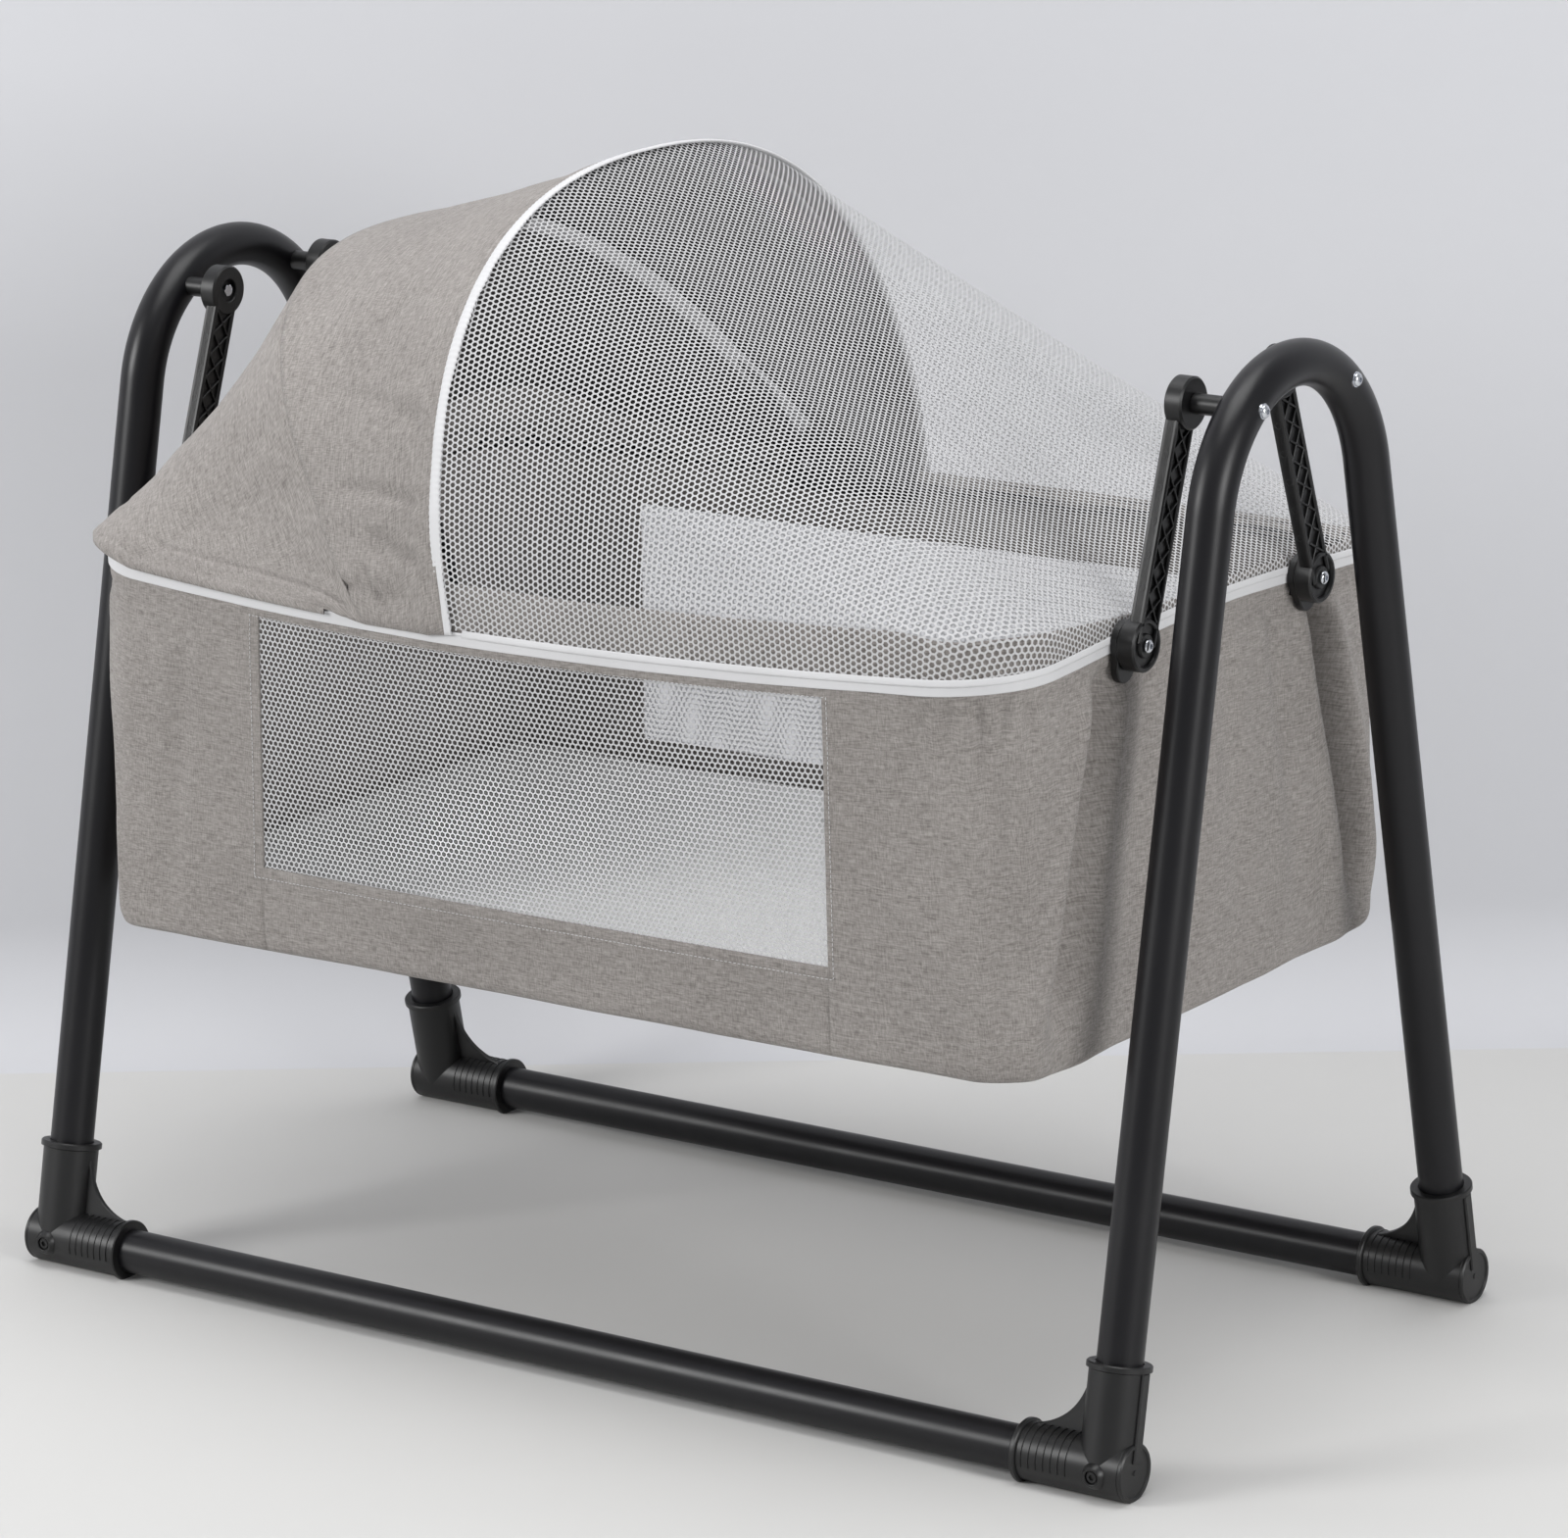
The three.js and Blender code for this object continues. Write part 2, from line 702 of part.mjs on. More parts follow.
function rimBracket() {
  const lug = vec(0, lowerPivotHalf + lugOutset, lowerPivotZ - lugDrop);
  const shape = new THREE.Shape();
  const steps = 8;
  const bend = Math.atan2(lugOutset, lugDrop);
  for (let i = 0; i <= steps; i++) {
    const a = bend + (Math.PI * i) / steps;
    shape[i ? "lineTo" : "moveTo"](
      lowerPivotHalf + plateRadius * Math.cos(a),
      lowerPivotZ + plateRadius * Math.sin(a),
    );
  }
  for (let i = 0; i <= steps; i++) {
    const a = bend + Math.PI + (Math.PI * i) / steps;
    shape.lineTo(lug.y + lugRadius * Math.cos(a), lug.z + lugRadius * Math.sin(a));
  }
  const face = plate(shape, plateThickness, yAxis, zAxis, xAxis, vec(plateInner, 0, 0));
  const jaw = block(
    vec(jawInnerX, lowerPivotHalf - jawHalfWidth, jawBottomZ),
    vec(plateOuter, lowerPivotHalf + jawHalfWidth, jawTopZ),
  );
  const rimAt = (y) => vec(rimAxisX, y, rimHeight(rimHalfX, y));
  const reach = jawHalfWidth + overrun;
  return face
    .add(jaw)
    .subtract(
      rod(rimAt(lowerPivotHalf - reach), rimAt(lowerPivotHalf + reach), rimRadius + 2 * seatGap),
    )
    .subtract(rod(lowerPivot(plateInner), lowerPivot(plateOuter + overrun), boltRadius + boltClearance));
}

// Hollow rim tube in the hem, with its butt joint in the middle of the head end
function rimTube() {
  const centre = stations.map((s) => rimPlace(s, -rimAxisInset, s.z));
  const path = [...centre, centre[0].clone()];
  path[0].y -= rimJointGap / 2;
  path[path.length - 1].y += rimJointGap / 2;
  return tubeAlong(path, rimRadius, rimRadius - rimWall, rimSides, zAxis);
}

// White tape with the zip, round the outside of the rim
function rimBand() {
  const rings = stations.map((s) =>
    [
      [seatGap, -bandHeight / 2],
      [bandThickness, -bandHeight / 2],
      [bandThickness, bandHeight / 2],
      [seatGap, bandHeight / 2],
    ].map(([out, rise]) => rimPlace(s, out, s.z + rise)),
  );
  return loft(rings, true);
}

// Outline of a window in the XZ plane; its head follows the rim and its sides slant
function windowShape(window, shrink) {
  const shape = new THREE.Shape();
  const steps = 6;
  const [low, high] = [window.head + shrink, window.foot - shrink];
  const sill = tubBottomZ + window.sill + shrink;
  shape.moveTo(low + window.taper[0], sill);
  shape.lineTo(high + window.taper[1], sill);
  for (let i = 0; i <= steps; i++) {
    const x = high + ((low - high) * i) / steps;
    shape.lineTo(x, rimHeight(x, rimHalfY) - window.strip - shrink);
  }
  return shape;
}
const windows = {
  near: {
    side: -1,
    head: nearWindowHead,
    foot: nearWindowFoot,
    taper: nearWindowTaper,
    strip: nearWindowStrip,
    sill: nearWindowSill,
  },
  far: {
    side: 1,
    head: farWindowHead,
    foot: farWindowFoot,
    taper: farWindowTaper,
    strip: farWindowStrip,
    sill: farWindowSill,
  },
};

// Net in a window, bent to the wall, with staggered gaps inside a plain hem
function windowNet(window) {
  const shape = windowShape(window, seatGap);
  const low = tubBottomZ + window.sill + netHem;
  const high = rimSideZ - window.strip - netHem;
  const rows = Math.floor((high - low) / netPitchUp);
  const rowPitch = (high - low) / rows;
  const head = window.head + Math.max(window.taper[0], 0) + netHem;
  const foot = window.foot + Math.min(window.taper[1], 0) - netHem;
  const columns = Math.floor((foot - head) / netPitchAlong);
  const columnPitch = (foot - head) / columns;
  for (let i = 0; i < rows; i++) {
    const shift = i % 2 ? 0.5 : 0;
    for (let j = 0; j + shift < columns; j++) {
      const x = head + (j + 0.5 + shift) * columnPitch;
      if (x + columnPitch / 2 > foot + seatGap) continue;
      const z = low + (i + 0.5) * rowPitch;
      const halfX = (columnPitch - netStrand) / 2;
      const halfZ = (rowPitch - netStrand) / 2;
      const gap = new THREE.Path();
      gap.moveTo(x - halfX, z);
      gap.lineTo(x, z - halfZ);
      gap.lineTo(x + halfX, z);
      gap.lineTo(x, z + halfZ);
      shape.holes.push(gap);
    }
  }
  const geometry = new THREE.ExtrudeGeometry(shape, { depth: netThickness, bevelEnabled: false });
  const position = geometry.attributes.position;
  for (let i = 0; i < position.count; i++) {
    const [x, z, depth] = [position.getX(i), position.getY(i), position.getZ(i)];
    const wall = wallHalfWidth(x, z) - fabricThickness / 2 - netThickness / 2;
    position.setXYZ(i, x, window.side * (wall + depth), z);
  }
  return closedCopy(bodyOf(geometry));
}

// Fabric tub: wall, bottom and the hem round the rim tube, with windows and bracket slits
function basketShell() {
  const rings = [];
  const turnShares = [[1, 0], [0.3, 0.1], [0.07, 0.4], [0, 1]];
  for (const [inShare, upShare] of turnShares) {
    rings.push(insetRing(inShare * hemTurn, tubBottomZ + upShare * hemTurn));
  }
  const top = (out, rise) => stations.map((s) => rimPlace(s, out, s.z + rise));
  const wall = (low, high) => {
    const rows = Array.from({ length: wallRows - 1 }, (_, i) => (i + 1) / wallRows);
    return rows.map((t) => low.map((p, j) => p.clone().lerp(high[j], t)));
  };
  const outerTop = top(0, -rimRadius);
  rings.push(...wall(rings[rings.length - 1], outerTop), outerTop);
  const hem = (radius, i) => {
    const a = (Math.PI * i) / hemSteps;
    return top(-rimAxisInset + radius * Math.cos(a), radius * Math.sin(a));
  };
  for (let i = 0; i <= hemSteps; i++) rings.push(hem(hemInnerRadius + fabricThickness, i));
  for (let i = hemSteps; i >= 0; i--) rings.push(hem(hemInnerRadius, i));
  const innerTop = top(-fabricThickness, -rimRadius);
  const innerFoot = insetRing(fabricThickness, wallFootZ);
  rings.push(innerTop, ...wall(innerTop, innerFoot));
  for (const [inShare, upShare] of turnShares.slice().reverse()) {
    const inset = inShare * hemTurn + fabricThickness * (1 - inShare);
    const rise = upShare * hemTurn + fabricThickness * (inShare + (1 - inShare) * (1 - upShare));
    rings.push(insetRing(inset, tubBottomZ + rise));
  }
  let body = loft(rings);
  for (const window of Object.values(windows)) {
    const cut = plate(
      windowShape(window, 0),
      rimHalfY - bottomHalfY + 2 * overrun + fabricThickness,
      xAxis,
      zAxis,
      vec(0, window.side, 0),
      vec(0, window.side * (bottomHalfY - overrun - fabricThickness), 0),
    );
    body = body.subtract(cut);
  }
  for (const end of [-1, 1]) {
    for (const side of [-1, 1]) {
      const x = [end * (rimAxisX + rimRadius), end * (bandFace + overrun)].sort((a, b) => a - b);
      const half = jawHalfWidth + seatGap;
      body = body.subtract(
        block(
          vec(x[0], side * lowerPivotHalf - half, jawBottomZ - seatGap),
          vec(x[1], side * lowerPivotHalf + half, jawTopZ + seatGap),
        ),
      );
    }
  }
  return body;
}

// Board and mattress in the bottom of the tub
const boardZ = tubBottomZ + fabricThickness + seatGap;
const mattressZ = boardZ + boardThickness + seatGap;

function baseBoard() {
  const inset = hemTurn + boardInset;
  return loft([insetRing(inset, boardZ), insetRing(inset, boardZ + boardThickness)]);
}

// Mattress with a crowned top and sides that draw in below the edge
function mattress() {
  const side = fabricThickness + mattressInset;
  const rise = mattressThickness - mattressCrown;
  const crownReach = bottomFootRadius;
  const rings = [
    [side + mattressTuck * 2, 0],
    [side + mattressTuck, rise * 0.15],
    [side + mattressTuck, rise * 0.5],
    [side, rise * 0.85],
    [side + mattressTuck, rise],
    [side + crownReach * 0.4, rise + mattressCrown * 0.55],
    [side + crownReach, rise + mattressCrown],
  ];
  return loft(rings.map(([inset, up]) => insetRing(inset, mattressZ + up)));
}

// Hood bows: each is a plane through its pivot line, and a curve in that plane
const bowPivotZ = rimSideZ + bowPivotRise;
const plateFaceY = rimHalfWidth(bowPlateHead) - 2 * rimAxisInset - seatGap;
const eyeOuterY = plateFaceY - bowPlateThickness - seatGap;
const eyeWidth = 2 * bowRadius;
const bowFootY = eyeOuterY - bowRadius;
function bowOf(x, tilt, height, halfWidth, squareness) {
  const angle = THREE.MathUtils.degToRad(tilt);
  return {
    pivot: vec(x, 0, bowPivotZ),
    up: vec(Math.cos(angle), 0, Math.sin(angle)),
    footward: vec(Math.sin(angle), 0, -Math.cos(angle)),
    height,
    halfWidth,
    power: 2 / squareness,
  };
}
const frontBow = bowOf(
  frontBowX,
  frontBowTilt,
  frontBowHeight,
  frontBowHalfWidth,
  frontBowSquareness,
);
const rearBow = bowOf(rearBowX, rearBowTilt, rearBowHeight, rearBowHalfWidth, rearBowSquareness);

// Point on a bow's arch, share 0 at the near foot and 1 at the far one: a squared ellipse that
// draws in to its foot below the shoulder
function bowPoint(bow, share, foot, lift, offset) {
  const side = share <= 0.5 ? -1 : 1;
  const along = 1 - Math.abs(1 - 2 * share);
  const base = -bowPivotRise / bow.up.z;
  const full = bow.height + offset - base;
  const start = Math.asin(((lift - base) / full) ** (1 / bow.power));
  const angle = start + (Math.PI / 2 - start) * along;
  const rise = base + full * Math.sin(angle) ** bow.power;
  const wide = (bow.halfWidth + offset) * Math.max(Math.cos(angle), 0) ** bow.power;
  const spread = THREE.MathUtils.smoothstep(rise, lift, bowShoulder);
  const y = along < 1 ? foot + (wide - foot) * spread : 0;
  return bow.pivot.clone().addScaledVector(bow.up, rise).setY(side * y);
}

// Bent rod with an eye at each foot
function bowBody(bow) {
  const path = [];
  for (let i = 0; i <= bowSteps; i++) {
    path.push(bowPoint(bow, i / bowSteps, bowFootY, bowNeck, 0));
  }
  const foot = (side) => bow.pivot.clone().setY(side * bowFootY);
  let body = tubeAlong([foot(-1), ...path, foot(1)], bowRadius, 0, wireSides, bow.footward);
  for (const side of [-1, 1]) {
    const eye = (y) => bow.pivot.clone().setY(side * y);
    body = body.add(rod(eye(eyeOuterY - eyeWidth), eye(eyeOuterY), eyeRadius));
  }
  for (const side of [-1, 1]) {
    const eye = (y) => bow.pivot.clone().setY(side * y);
    const inner = eyeOuterY - eyeWidth - overrun;
    body = body.subtract(rod(eye(inner), eye(eyeOuterY + overrun), pinRadius + boltClearance));
  }
  return body;
}

// Plate that carries both bows and hooks under the rim tube, at the far side
function bowBracket(side) {
  const z = (rise) => rimSideZ + rise;
  const low = -rimRadius - seatGap - bowJawDepth;
  const shape = new THREE.Shape();
  shape.moveTo(bowPlateHead, z(low));
  shape.lineTo(bowPlateFoot - bowPlateCorner, z(low));
  shape.quadraticCurveTo(bowPlateFoot, z(low), bowPlateFoot, z(low + bowPlateCorner));
  shape.lineTo(bowPlateFoot, z(bowPlateRise - bowPlateCorner));
  shape.quadraticCurveTo(
    bowPlateFoot,
    z(bowPlateRise),
    bowPlateFoot - bowPlateCorner,
    z(bowPlateRise),
  );
  shape.lineTo(bowPlateHead, z(bowPlateRise));
  const face = plate(
    shape,
    bowPlateThickness,
    xAxis,
    zAxis,
    vec(0, side, 0),
    vec(0, side * (plateFaceY - bowPlateThickness), 0),
    3,
  );
  const edges = [plateFaceY - bowPlateThickness, plateFaceY + bowJawReach].map((y) => side * y);
  const jaw = block(
    vec(bowPlateHead, Math.min(...edges), z(low)),
    vec(bowPlateFoot - bowPlateCorner, Math.max(...edges), z(-rimRadius / 2)),
  );
  let body = face.add(jaw);
  const nearby = [];
  for (const share of [-0.2, 0, 0.5, 1, 1.2]) {
    const x = bowPlateHead + (bowPlateFoot - bowPlateHead) * share;
    nearby.push(vec(x, side * (rimHalfWidth(x) - rimAxisInset), rimHeight(x, rimHalfY)));
  }
  body = body.subtract(tubeAlong(nearby, rimRadius + 3 * seatGap, 0, rodSides, zAxis));
  for (const bow of [frontBow, rearBow]) {
    const at = (y) => bow.pivot.clone().setY(side * y);
    const inner = plateFaceY - bowPlateThickness - overrun;
    body = body.subtract(rod(at(inner), at(plateFaceY + overrun), pinRadius + boltClearance));
  }
  return body;
}

// Headed pin through a bow's eye and the plate
function bowPin(bow, side) {
  const at = (y) => bow.pivot.clone().setY(side * y);
  const seat = eyeOuterY - eyeWidth - seatGap;
  return rod(at(seat - pinHeadHeight), at(seat), pinHeadRadius).add(
    rod(at(seat - pinHeadHeight / 2), at(plateFaceY - seatGap), pinRadius),
  );
}

// Section of the hood over a bow, down to the rim band on both sides
const hemOut = bandThickness + seatGap + hoodThickness + chordMargin;
function hoodSection(bow, share, forward, offset, hemRise = hemLift) {
  const lift = (rimSideZ + hemRise - bowPivotZ) / bow.up.z;
  const rim = rimHalfWidth(bow.pivot.x + forward);
  const foot = rim + hemOut - hoodOffset + Math.min(offset, hoodOffset);
  return bowPoint(bow, share, foot, lift, offset).addScaledVector(bow.footward, forward);
}

// Stations of the rim from an x on the near side round one end to the same x on the far side,
// each with its share of the bow's arch
function hemStations(startX, end) {
  const slope = Math.atan((2 * sideBow * startX) / rimHalfX ** 2);
  const start = {
    x: startX,
    y: -rimHalfWidth(startX),
    nx: Math.sin(slope),
    ny: -Math.cos(slope),
    z: rimHeight(startX, rimHalfY),
  };
  const near = nearStations.filter((s) => (s.x - startX) * end > 0);
  const half = [start, ...(end < 0 ? near.reverse() : near)];
  const run = [0];
  for (let i = 1; i < half.length; i++) {
    const [a, b] = [half[i - 1], half[i]];
    run.push(run[i - 1] + Math.hypot(b.x - a.x, b.y - a.y));
  }
  half.forEach((s, i) => {
    const turnShare = Math.atan2(Math.abs(s.nx), Math.abs(s.ny)) / Math.PI;
    const runShare = run[i] / run[run.length - 1] / 2;
    s.share = turnShare * (1 - coverRunShare) + runShare * coverRunShare;
  });
  const far = half.slice(0, -1).reverse();
  return [...half, ...far.map((s) => ({ ...s, y: -s.y, ny: -s.ny, share: 1 - s.share }))];
}
const headHem = halved(hemStations(rearBowX - 2 * frontHem, -1));
const footHem = hemStations(frontBowX + 2 * frontHem, 1);

// The same line with a station more in the middle of each step
function halved(line) {
  const middle = (a, b) => {
    const mix = (key) => (a[key] + b[key]) / 2;
    const n = Math.hypot(mix("nx"), mix("ny"));
    const [nx, ny] = [mix("nx") / n, mix("ny") / n];
    return { x: mix("x"), y: mix("y"), nx, ny, z: mix("z"), share: mix("share") };
  };
  return line.flatMap((s, i) => (i ? [middle(line[i - 1], s), s] : [s]));
}
const bump = (t) => Math.sin(Math.PI * t);

// Point between two others that sags towards the middle of the basket
function sagging(from, to, u, share, sag) {
  const p = from.lerp(to, u);
  const inward = vec(0, -p.y, rimSideZ - p.z).normalize();
  return p.addScaledVector(inward, sag * bump(u) * bump(share));
}

// Front panel from its hem over the front bow to the rear bow
function hoodFrontPanel() {
  const rows = 6;
  const surface = (i, j, depth) => {
    const share = j / bowSteps;
    const top = hoodOffset - depth;
    if (i === 0) return hoodSection(frontBow, share, frontHem, top + frontHemRise);
    const over = hoodSection(frontBow, share, 0, top);
    const rear = hoodSection(rearBow, share, seatGap, top);
    return sagging(over, rear, (i - 1) / (rows - 1), share, frontPanelSag);
  };
  return sheetOf(surface, rows + 1, bowSteps + 1, hoodThickness);
}

// Rear panel from the rear bow to a hem that hangs over the band round the head end, with an
// overhang at its corners
function hoodRearPanel() {
  const rows = 6;
  const skirt = bandHeight / 2 + seatGap - hemLift;
  const surface = (i, j, depth) => {
    const s = headHem[j];
    const top = hoodSection(rearBow, s.share, -seatGap, hoodOffset - depth);
    const cornerShare = Math.abs(s.nx * s.ny) * 2;
    const endShare = s.nx ** 4;
    const out = hemOut + tipOverhang * cornerShare;
    const inAtEnd = (hemOut + seatGap) * endShare;
    const lift = hemLift + tipLift * cornerShare + (headHemLift - hemLift) * endShare;
    const hem = rimPlace(s, out - inAtEnd - depth, s.z + lift);
    if (i > rows) return hem;
    return sagging(top, hem.setZ(hem.z + skirt), i / rows, s.share, hoodSag);
  };
  return sheetOf(surface, rows + 2, headHem.length, hoodThickness);
}

// Net cover from the front hem of the hood to the zip round the foot end, open in a plain grid
function netCover() {
  const zipLift = bandHeight / 2 + seatGap;
  const surface = (u, j, depth) => {
    const s = footHem[j];
    const forward = frontHem + 2 * seatGap;
    const offset = hoodOffset + frontHemRise - seatGap - depth;
    const start = hoodSection(frontBow, s.share, forward, offset, zipLift);
    const hem = rimPlace(s, seatGap - depth, s.z + zipLift + coverEndLift * Math.abs(s.nx));
    return sagging(start, hem, u, s.share, coverSag);
  };
  const between = (u, place, depth) => {
    const j = Math.min(Math.floor(place), footHem.length - 2);
    return surface(u, j, depth).lerp(surface(u, j + 1, depth), place - j);
  };
  const rows = [0];
  for (let k = 0; k < coverOpenRows; k++) {
    rows.push((k + coverStrandShare) / coverOpenRows, (k + 1 - coverStrandShare) / coverOpenRows);
  }
  rows.push(1);
  const width = (i, j) =>
    Math.hypot(footHem[j].x - footHem[i].x, footHem[j].y - footHem[i].y);
  const columns = [0];
  const openColumns = new Set();
  let from = 0;
  for (let to = 1; to < footHem.length; to++) {
    if (width(from, to) < coverOpenWidth && to < footHem.length - 1) continue;
    columns.push(from + coverStrand / width(from, from + 1));
    for (let place = from + 1; place < to; place++) {
      openColumns.add(columns.length - 1);
      columns.push(place);
    }
    openColumns.add(columns.length - 1);
    columns.push(to - coverStrand / width(to - 1, to), to);
    from = to;
  }
  const layer = (depth) => rows.map((u) => columns.map((place) => between(u, place, depth)));
  return slab(layer(0), layer(coverThickness), (i, j) => i % 2 === 1 && openColumns.has(j));
}

// Assembly
const crib = new THREE.Group();
const add = (group, name, body, material) => group.add(meshOf(name, body, material));

const stand = new THREE.Group();
add(stand, "end_frame_head", endFrame(-1), powderBlack);
add(stand, "end_frame_foot", endFrame(1), powderBlack);
add(stand, "base_rail_near", floorRail(-1), powderBlack);
add(stand, "base_rail_far", floorRail(1), powderBlack);
crib.add(stand);

const cornerPieces = [
  ["corner_fitting", cornerFitting(), plasticBlack],
  ["corner_screw", cornerScrew(), zinc],
  ["pivot_spacer", pivotSpacer(), plasticBlack],
  ["upper_bolt", upperBolt(), zinc],
  ["upper_nut", upperNut(), zinc],
  ["swing_arm", swingArm(), plasticBlack],
  ["lower_bolt", lowerBolt(), zinc],
  ["rim_bracket", rimBracket(), plasticBlack],
];
for (const [end, endSign] of [["head", -1], ["foot", 1]]) {
  for (const [side, sideSign] of [["near", -1], ["far", 1]]) {
    const corner = new THREE.Group();
    corner.scale.set(endSign, sideSign, 1);
    for (const [name, body, material] of cornerPieces) {
      add(corner, `${name}_${end}_${side}`, body, material);
    }
    crib.add(corner);
  }
}

const basket = new THREE.Group();
add(basket, "rim_tube", rimTube(), powderBlack);
add(basket, "rim_band", rimBand(), whiteTape);
add(basket, "basket_shell", basketShell(), greyFabric);
add(basket, "window_net_near", windowNet(windows.near), whiteNet);
add(basket, "window_net_far", windowNet(windows.far), whiteNet);
add(basket, "base_board", baseBoard(), boardWood);
add(basket, "mattress", mattress(), whiteCover);
crib.add(basket);

const hood = new THREE.Group();
for (const [side, sideSign] of [["near", -1], ["far", 1]]) {
  add(hood, `bow_bracket_${side}`, bowBracket(sideSign), plasticBlack);
  add(hood, `front_bow_pin_${side}`, bowPin(frontBow, sideSign), zinc);
  add(hood, `rear_bow_pin_${side}`, bowPin(rearBow, sideSign), zinc);
}
add(hood, "front_bow", bowBody(frontBow), powderBlack);
add(hood, "rear_bow", bowBody(rearBow), powderBlack);
add(hood, "hood_front_panel", hoodFrontPanel(), greyFabric);
add(hood, "hood_rear_panel", hoodRearPanel(), greyFabric);
add(hood, "net_cover", netCover(), whiteNet);
crib.add(hood);

export default crib;
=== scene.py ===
"""Bedside crib with a swinging basket: stand, swing arms, fabric basket, hood, net cover and mattress.

Run as a script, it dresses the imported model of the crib. Sizes are in metres, +Z is up, +X points
to the foot end and the near side is -Y.
"""

import math

import bmesh
import bpy
import numpy as np
from bpy.props import FloatProperty, FloatVectorProperty, IntProperty, PointerProperty
from mathutils import Matrix, Vector


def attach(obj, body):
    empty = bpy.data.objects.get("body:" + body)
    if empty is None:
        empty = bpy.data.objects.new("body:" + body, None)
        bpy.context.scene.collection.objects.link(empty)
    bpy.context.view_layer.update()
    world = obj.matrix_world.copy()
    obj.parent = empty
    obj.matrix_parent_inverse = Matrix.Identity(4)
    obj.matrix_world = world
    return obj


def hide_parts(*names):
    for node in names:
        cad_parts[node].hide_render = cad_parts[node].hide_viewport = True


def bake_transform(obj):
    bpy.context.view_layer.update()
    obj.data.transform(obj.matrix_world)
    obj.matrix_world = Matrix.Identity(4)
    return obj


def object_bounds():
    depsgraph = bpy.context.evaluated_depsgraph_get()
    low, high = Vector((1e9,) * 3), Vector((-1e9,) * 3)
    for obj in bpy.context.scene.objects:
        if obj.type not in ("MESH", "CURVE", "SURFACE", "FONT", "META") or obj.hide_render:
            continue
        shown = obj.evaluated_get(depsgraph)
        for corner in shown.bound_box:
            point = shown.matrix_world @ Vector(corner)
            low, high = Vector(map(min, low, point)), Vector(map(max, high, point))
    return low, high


bl_info = {
    "name": "Bedside crib",
    "version": (1, 0, 0),
    "blender": (4, 5, 0),
    "location": "View3D > Sidebar > Crib",
    "description": "Builds the visible pieces of a swinging bedside crib on its packed model",
    "category": "Add Mesh",
}

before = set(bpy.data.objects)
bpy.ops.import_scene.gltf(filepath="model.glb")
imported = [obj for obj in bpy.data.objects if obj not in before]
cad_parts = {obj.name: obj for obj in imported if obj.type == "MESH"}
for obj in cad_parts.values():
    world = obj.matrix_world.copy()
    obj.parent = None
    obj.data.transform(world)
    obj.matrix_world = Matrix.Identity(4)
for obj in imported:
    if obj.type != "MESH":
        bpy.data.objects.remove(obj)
CAD_LOW, CAD_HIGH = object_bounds()
mm = 0.001
CORNERS = [(end, side) for end in ("head", "foot") for side in ("near", "far")]
SIGN = {"head": -1, "foot": 1, "near": -1, "far": 1}


def length(name, value, description, low=0.0001, high=3.0):
    return FloatProperty(
        name=name,
        description=description,
        default=value,
        min=low,
        max=high,
        unit="LENGTH",
        precision=4,
    )


def colour(name, value, description):
    return FloatVectorProperty(
        name=name, description=description, default=value, size=3, min=0, max=1, subtype="COLOR"
    )


class CribStandSizes(bpy.types.PropertyGroup):
    tube_radius: length("Tube radius", 0.019, "Radius of the steel tube of frames and rails")
    frame_span: length("Frame span", 1.079, "Distance between the two end frames")
    rail_spread: length("Rail spread", 0.556, "Distance between the two floor rails")
    arch_radius: length("Arch radius", 0.126, "Radius of the bend at the top of an end frame")
    arch_height: length("Arch centre", 0.7356, "Height of the centre of that bend")
    rail_height: length("Rail height", 0.023, "Height of the axis of the floor rails")
    sleeve_radius: length("Sleeve radius", 0.024, "Outside radius of the corner fittings")
    sleeve_inboard: length("Sleeve inboard", 0.078, "Reach of a fitting along its rail")
    sleeve_outboard: length("Sleeve outboard", 0.025, "Reach of a fitting past the leg")
    socket_height: length("Socket height", 0.085, "Height of the socket that holds a leg")
    gusset_length: length("Gusset length", 0.074, "Length of the web between leg and rail")
    gusset_height: length("Gusset height", 0.074, "Height of that web")
    grip_rings: IntProperty(
        name="Grip rings", description="Ribs on the upper side of a sleeve", default=7, min=1, max=20
    )


class CribArmSizes(bpy.types.PropertyGroup):
    upper_half: length("Upper pivots", 0.073, "Half the distance between the upper pivots")
    upper_height: length("Upper pivot height", 0.8383, "Height of the upper pivots")
    lower_half: length("Lower pivots", 0.138, "Half the distance between the lower pivots")
    lower_height: length("Lower pivot height", 0.65499, "Height of the lower pivots")
    boss_radius: length("Boss radius", 0.0215, "Radius of the round ends of an arm")
    bar_width: length("Bar width", 0.027, "Width of an arm between its ends")
    rib_pitch: length("Rib pitch", 0.0185, "Spacing of the crossed ribs in an arm")
    mark_pitch: length("Mark pitch", 0.0265, "Spacing of the round marks on an arm's edge")
    lower_face: length("Lower face", 0.4751, "Inner face of the lower bosses along X")
    upper_face: length("Upper face", 0.4794, "Inner face of the upper bosses along X")
    boss_width: length("Boss width", 0.016, "Width of a boss along X")


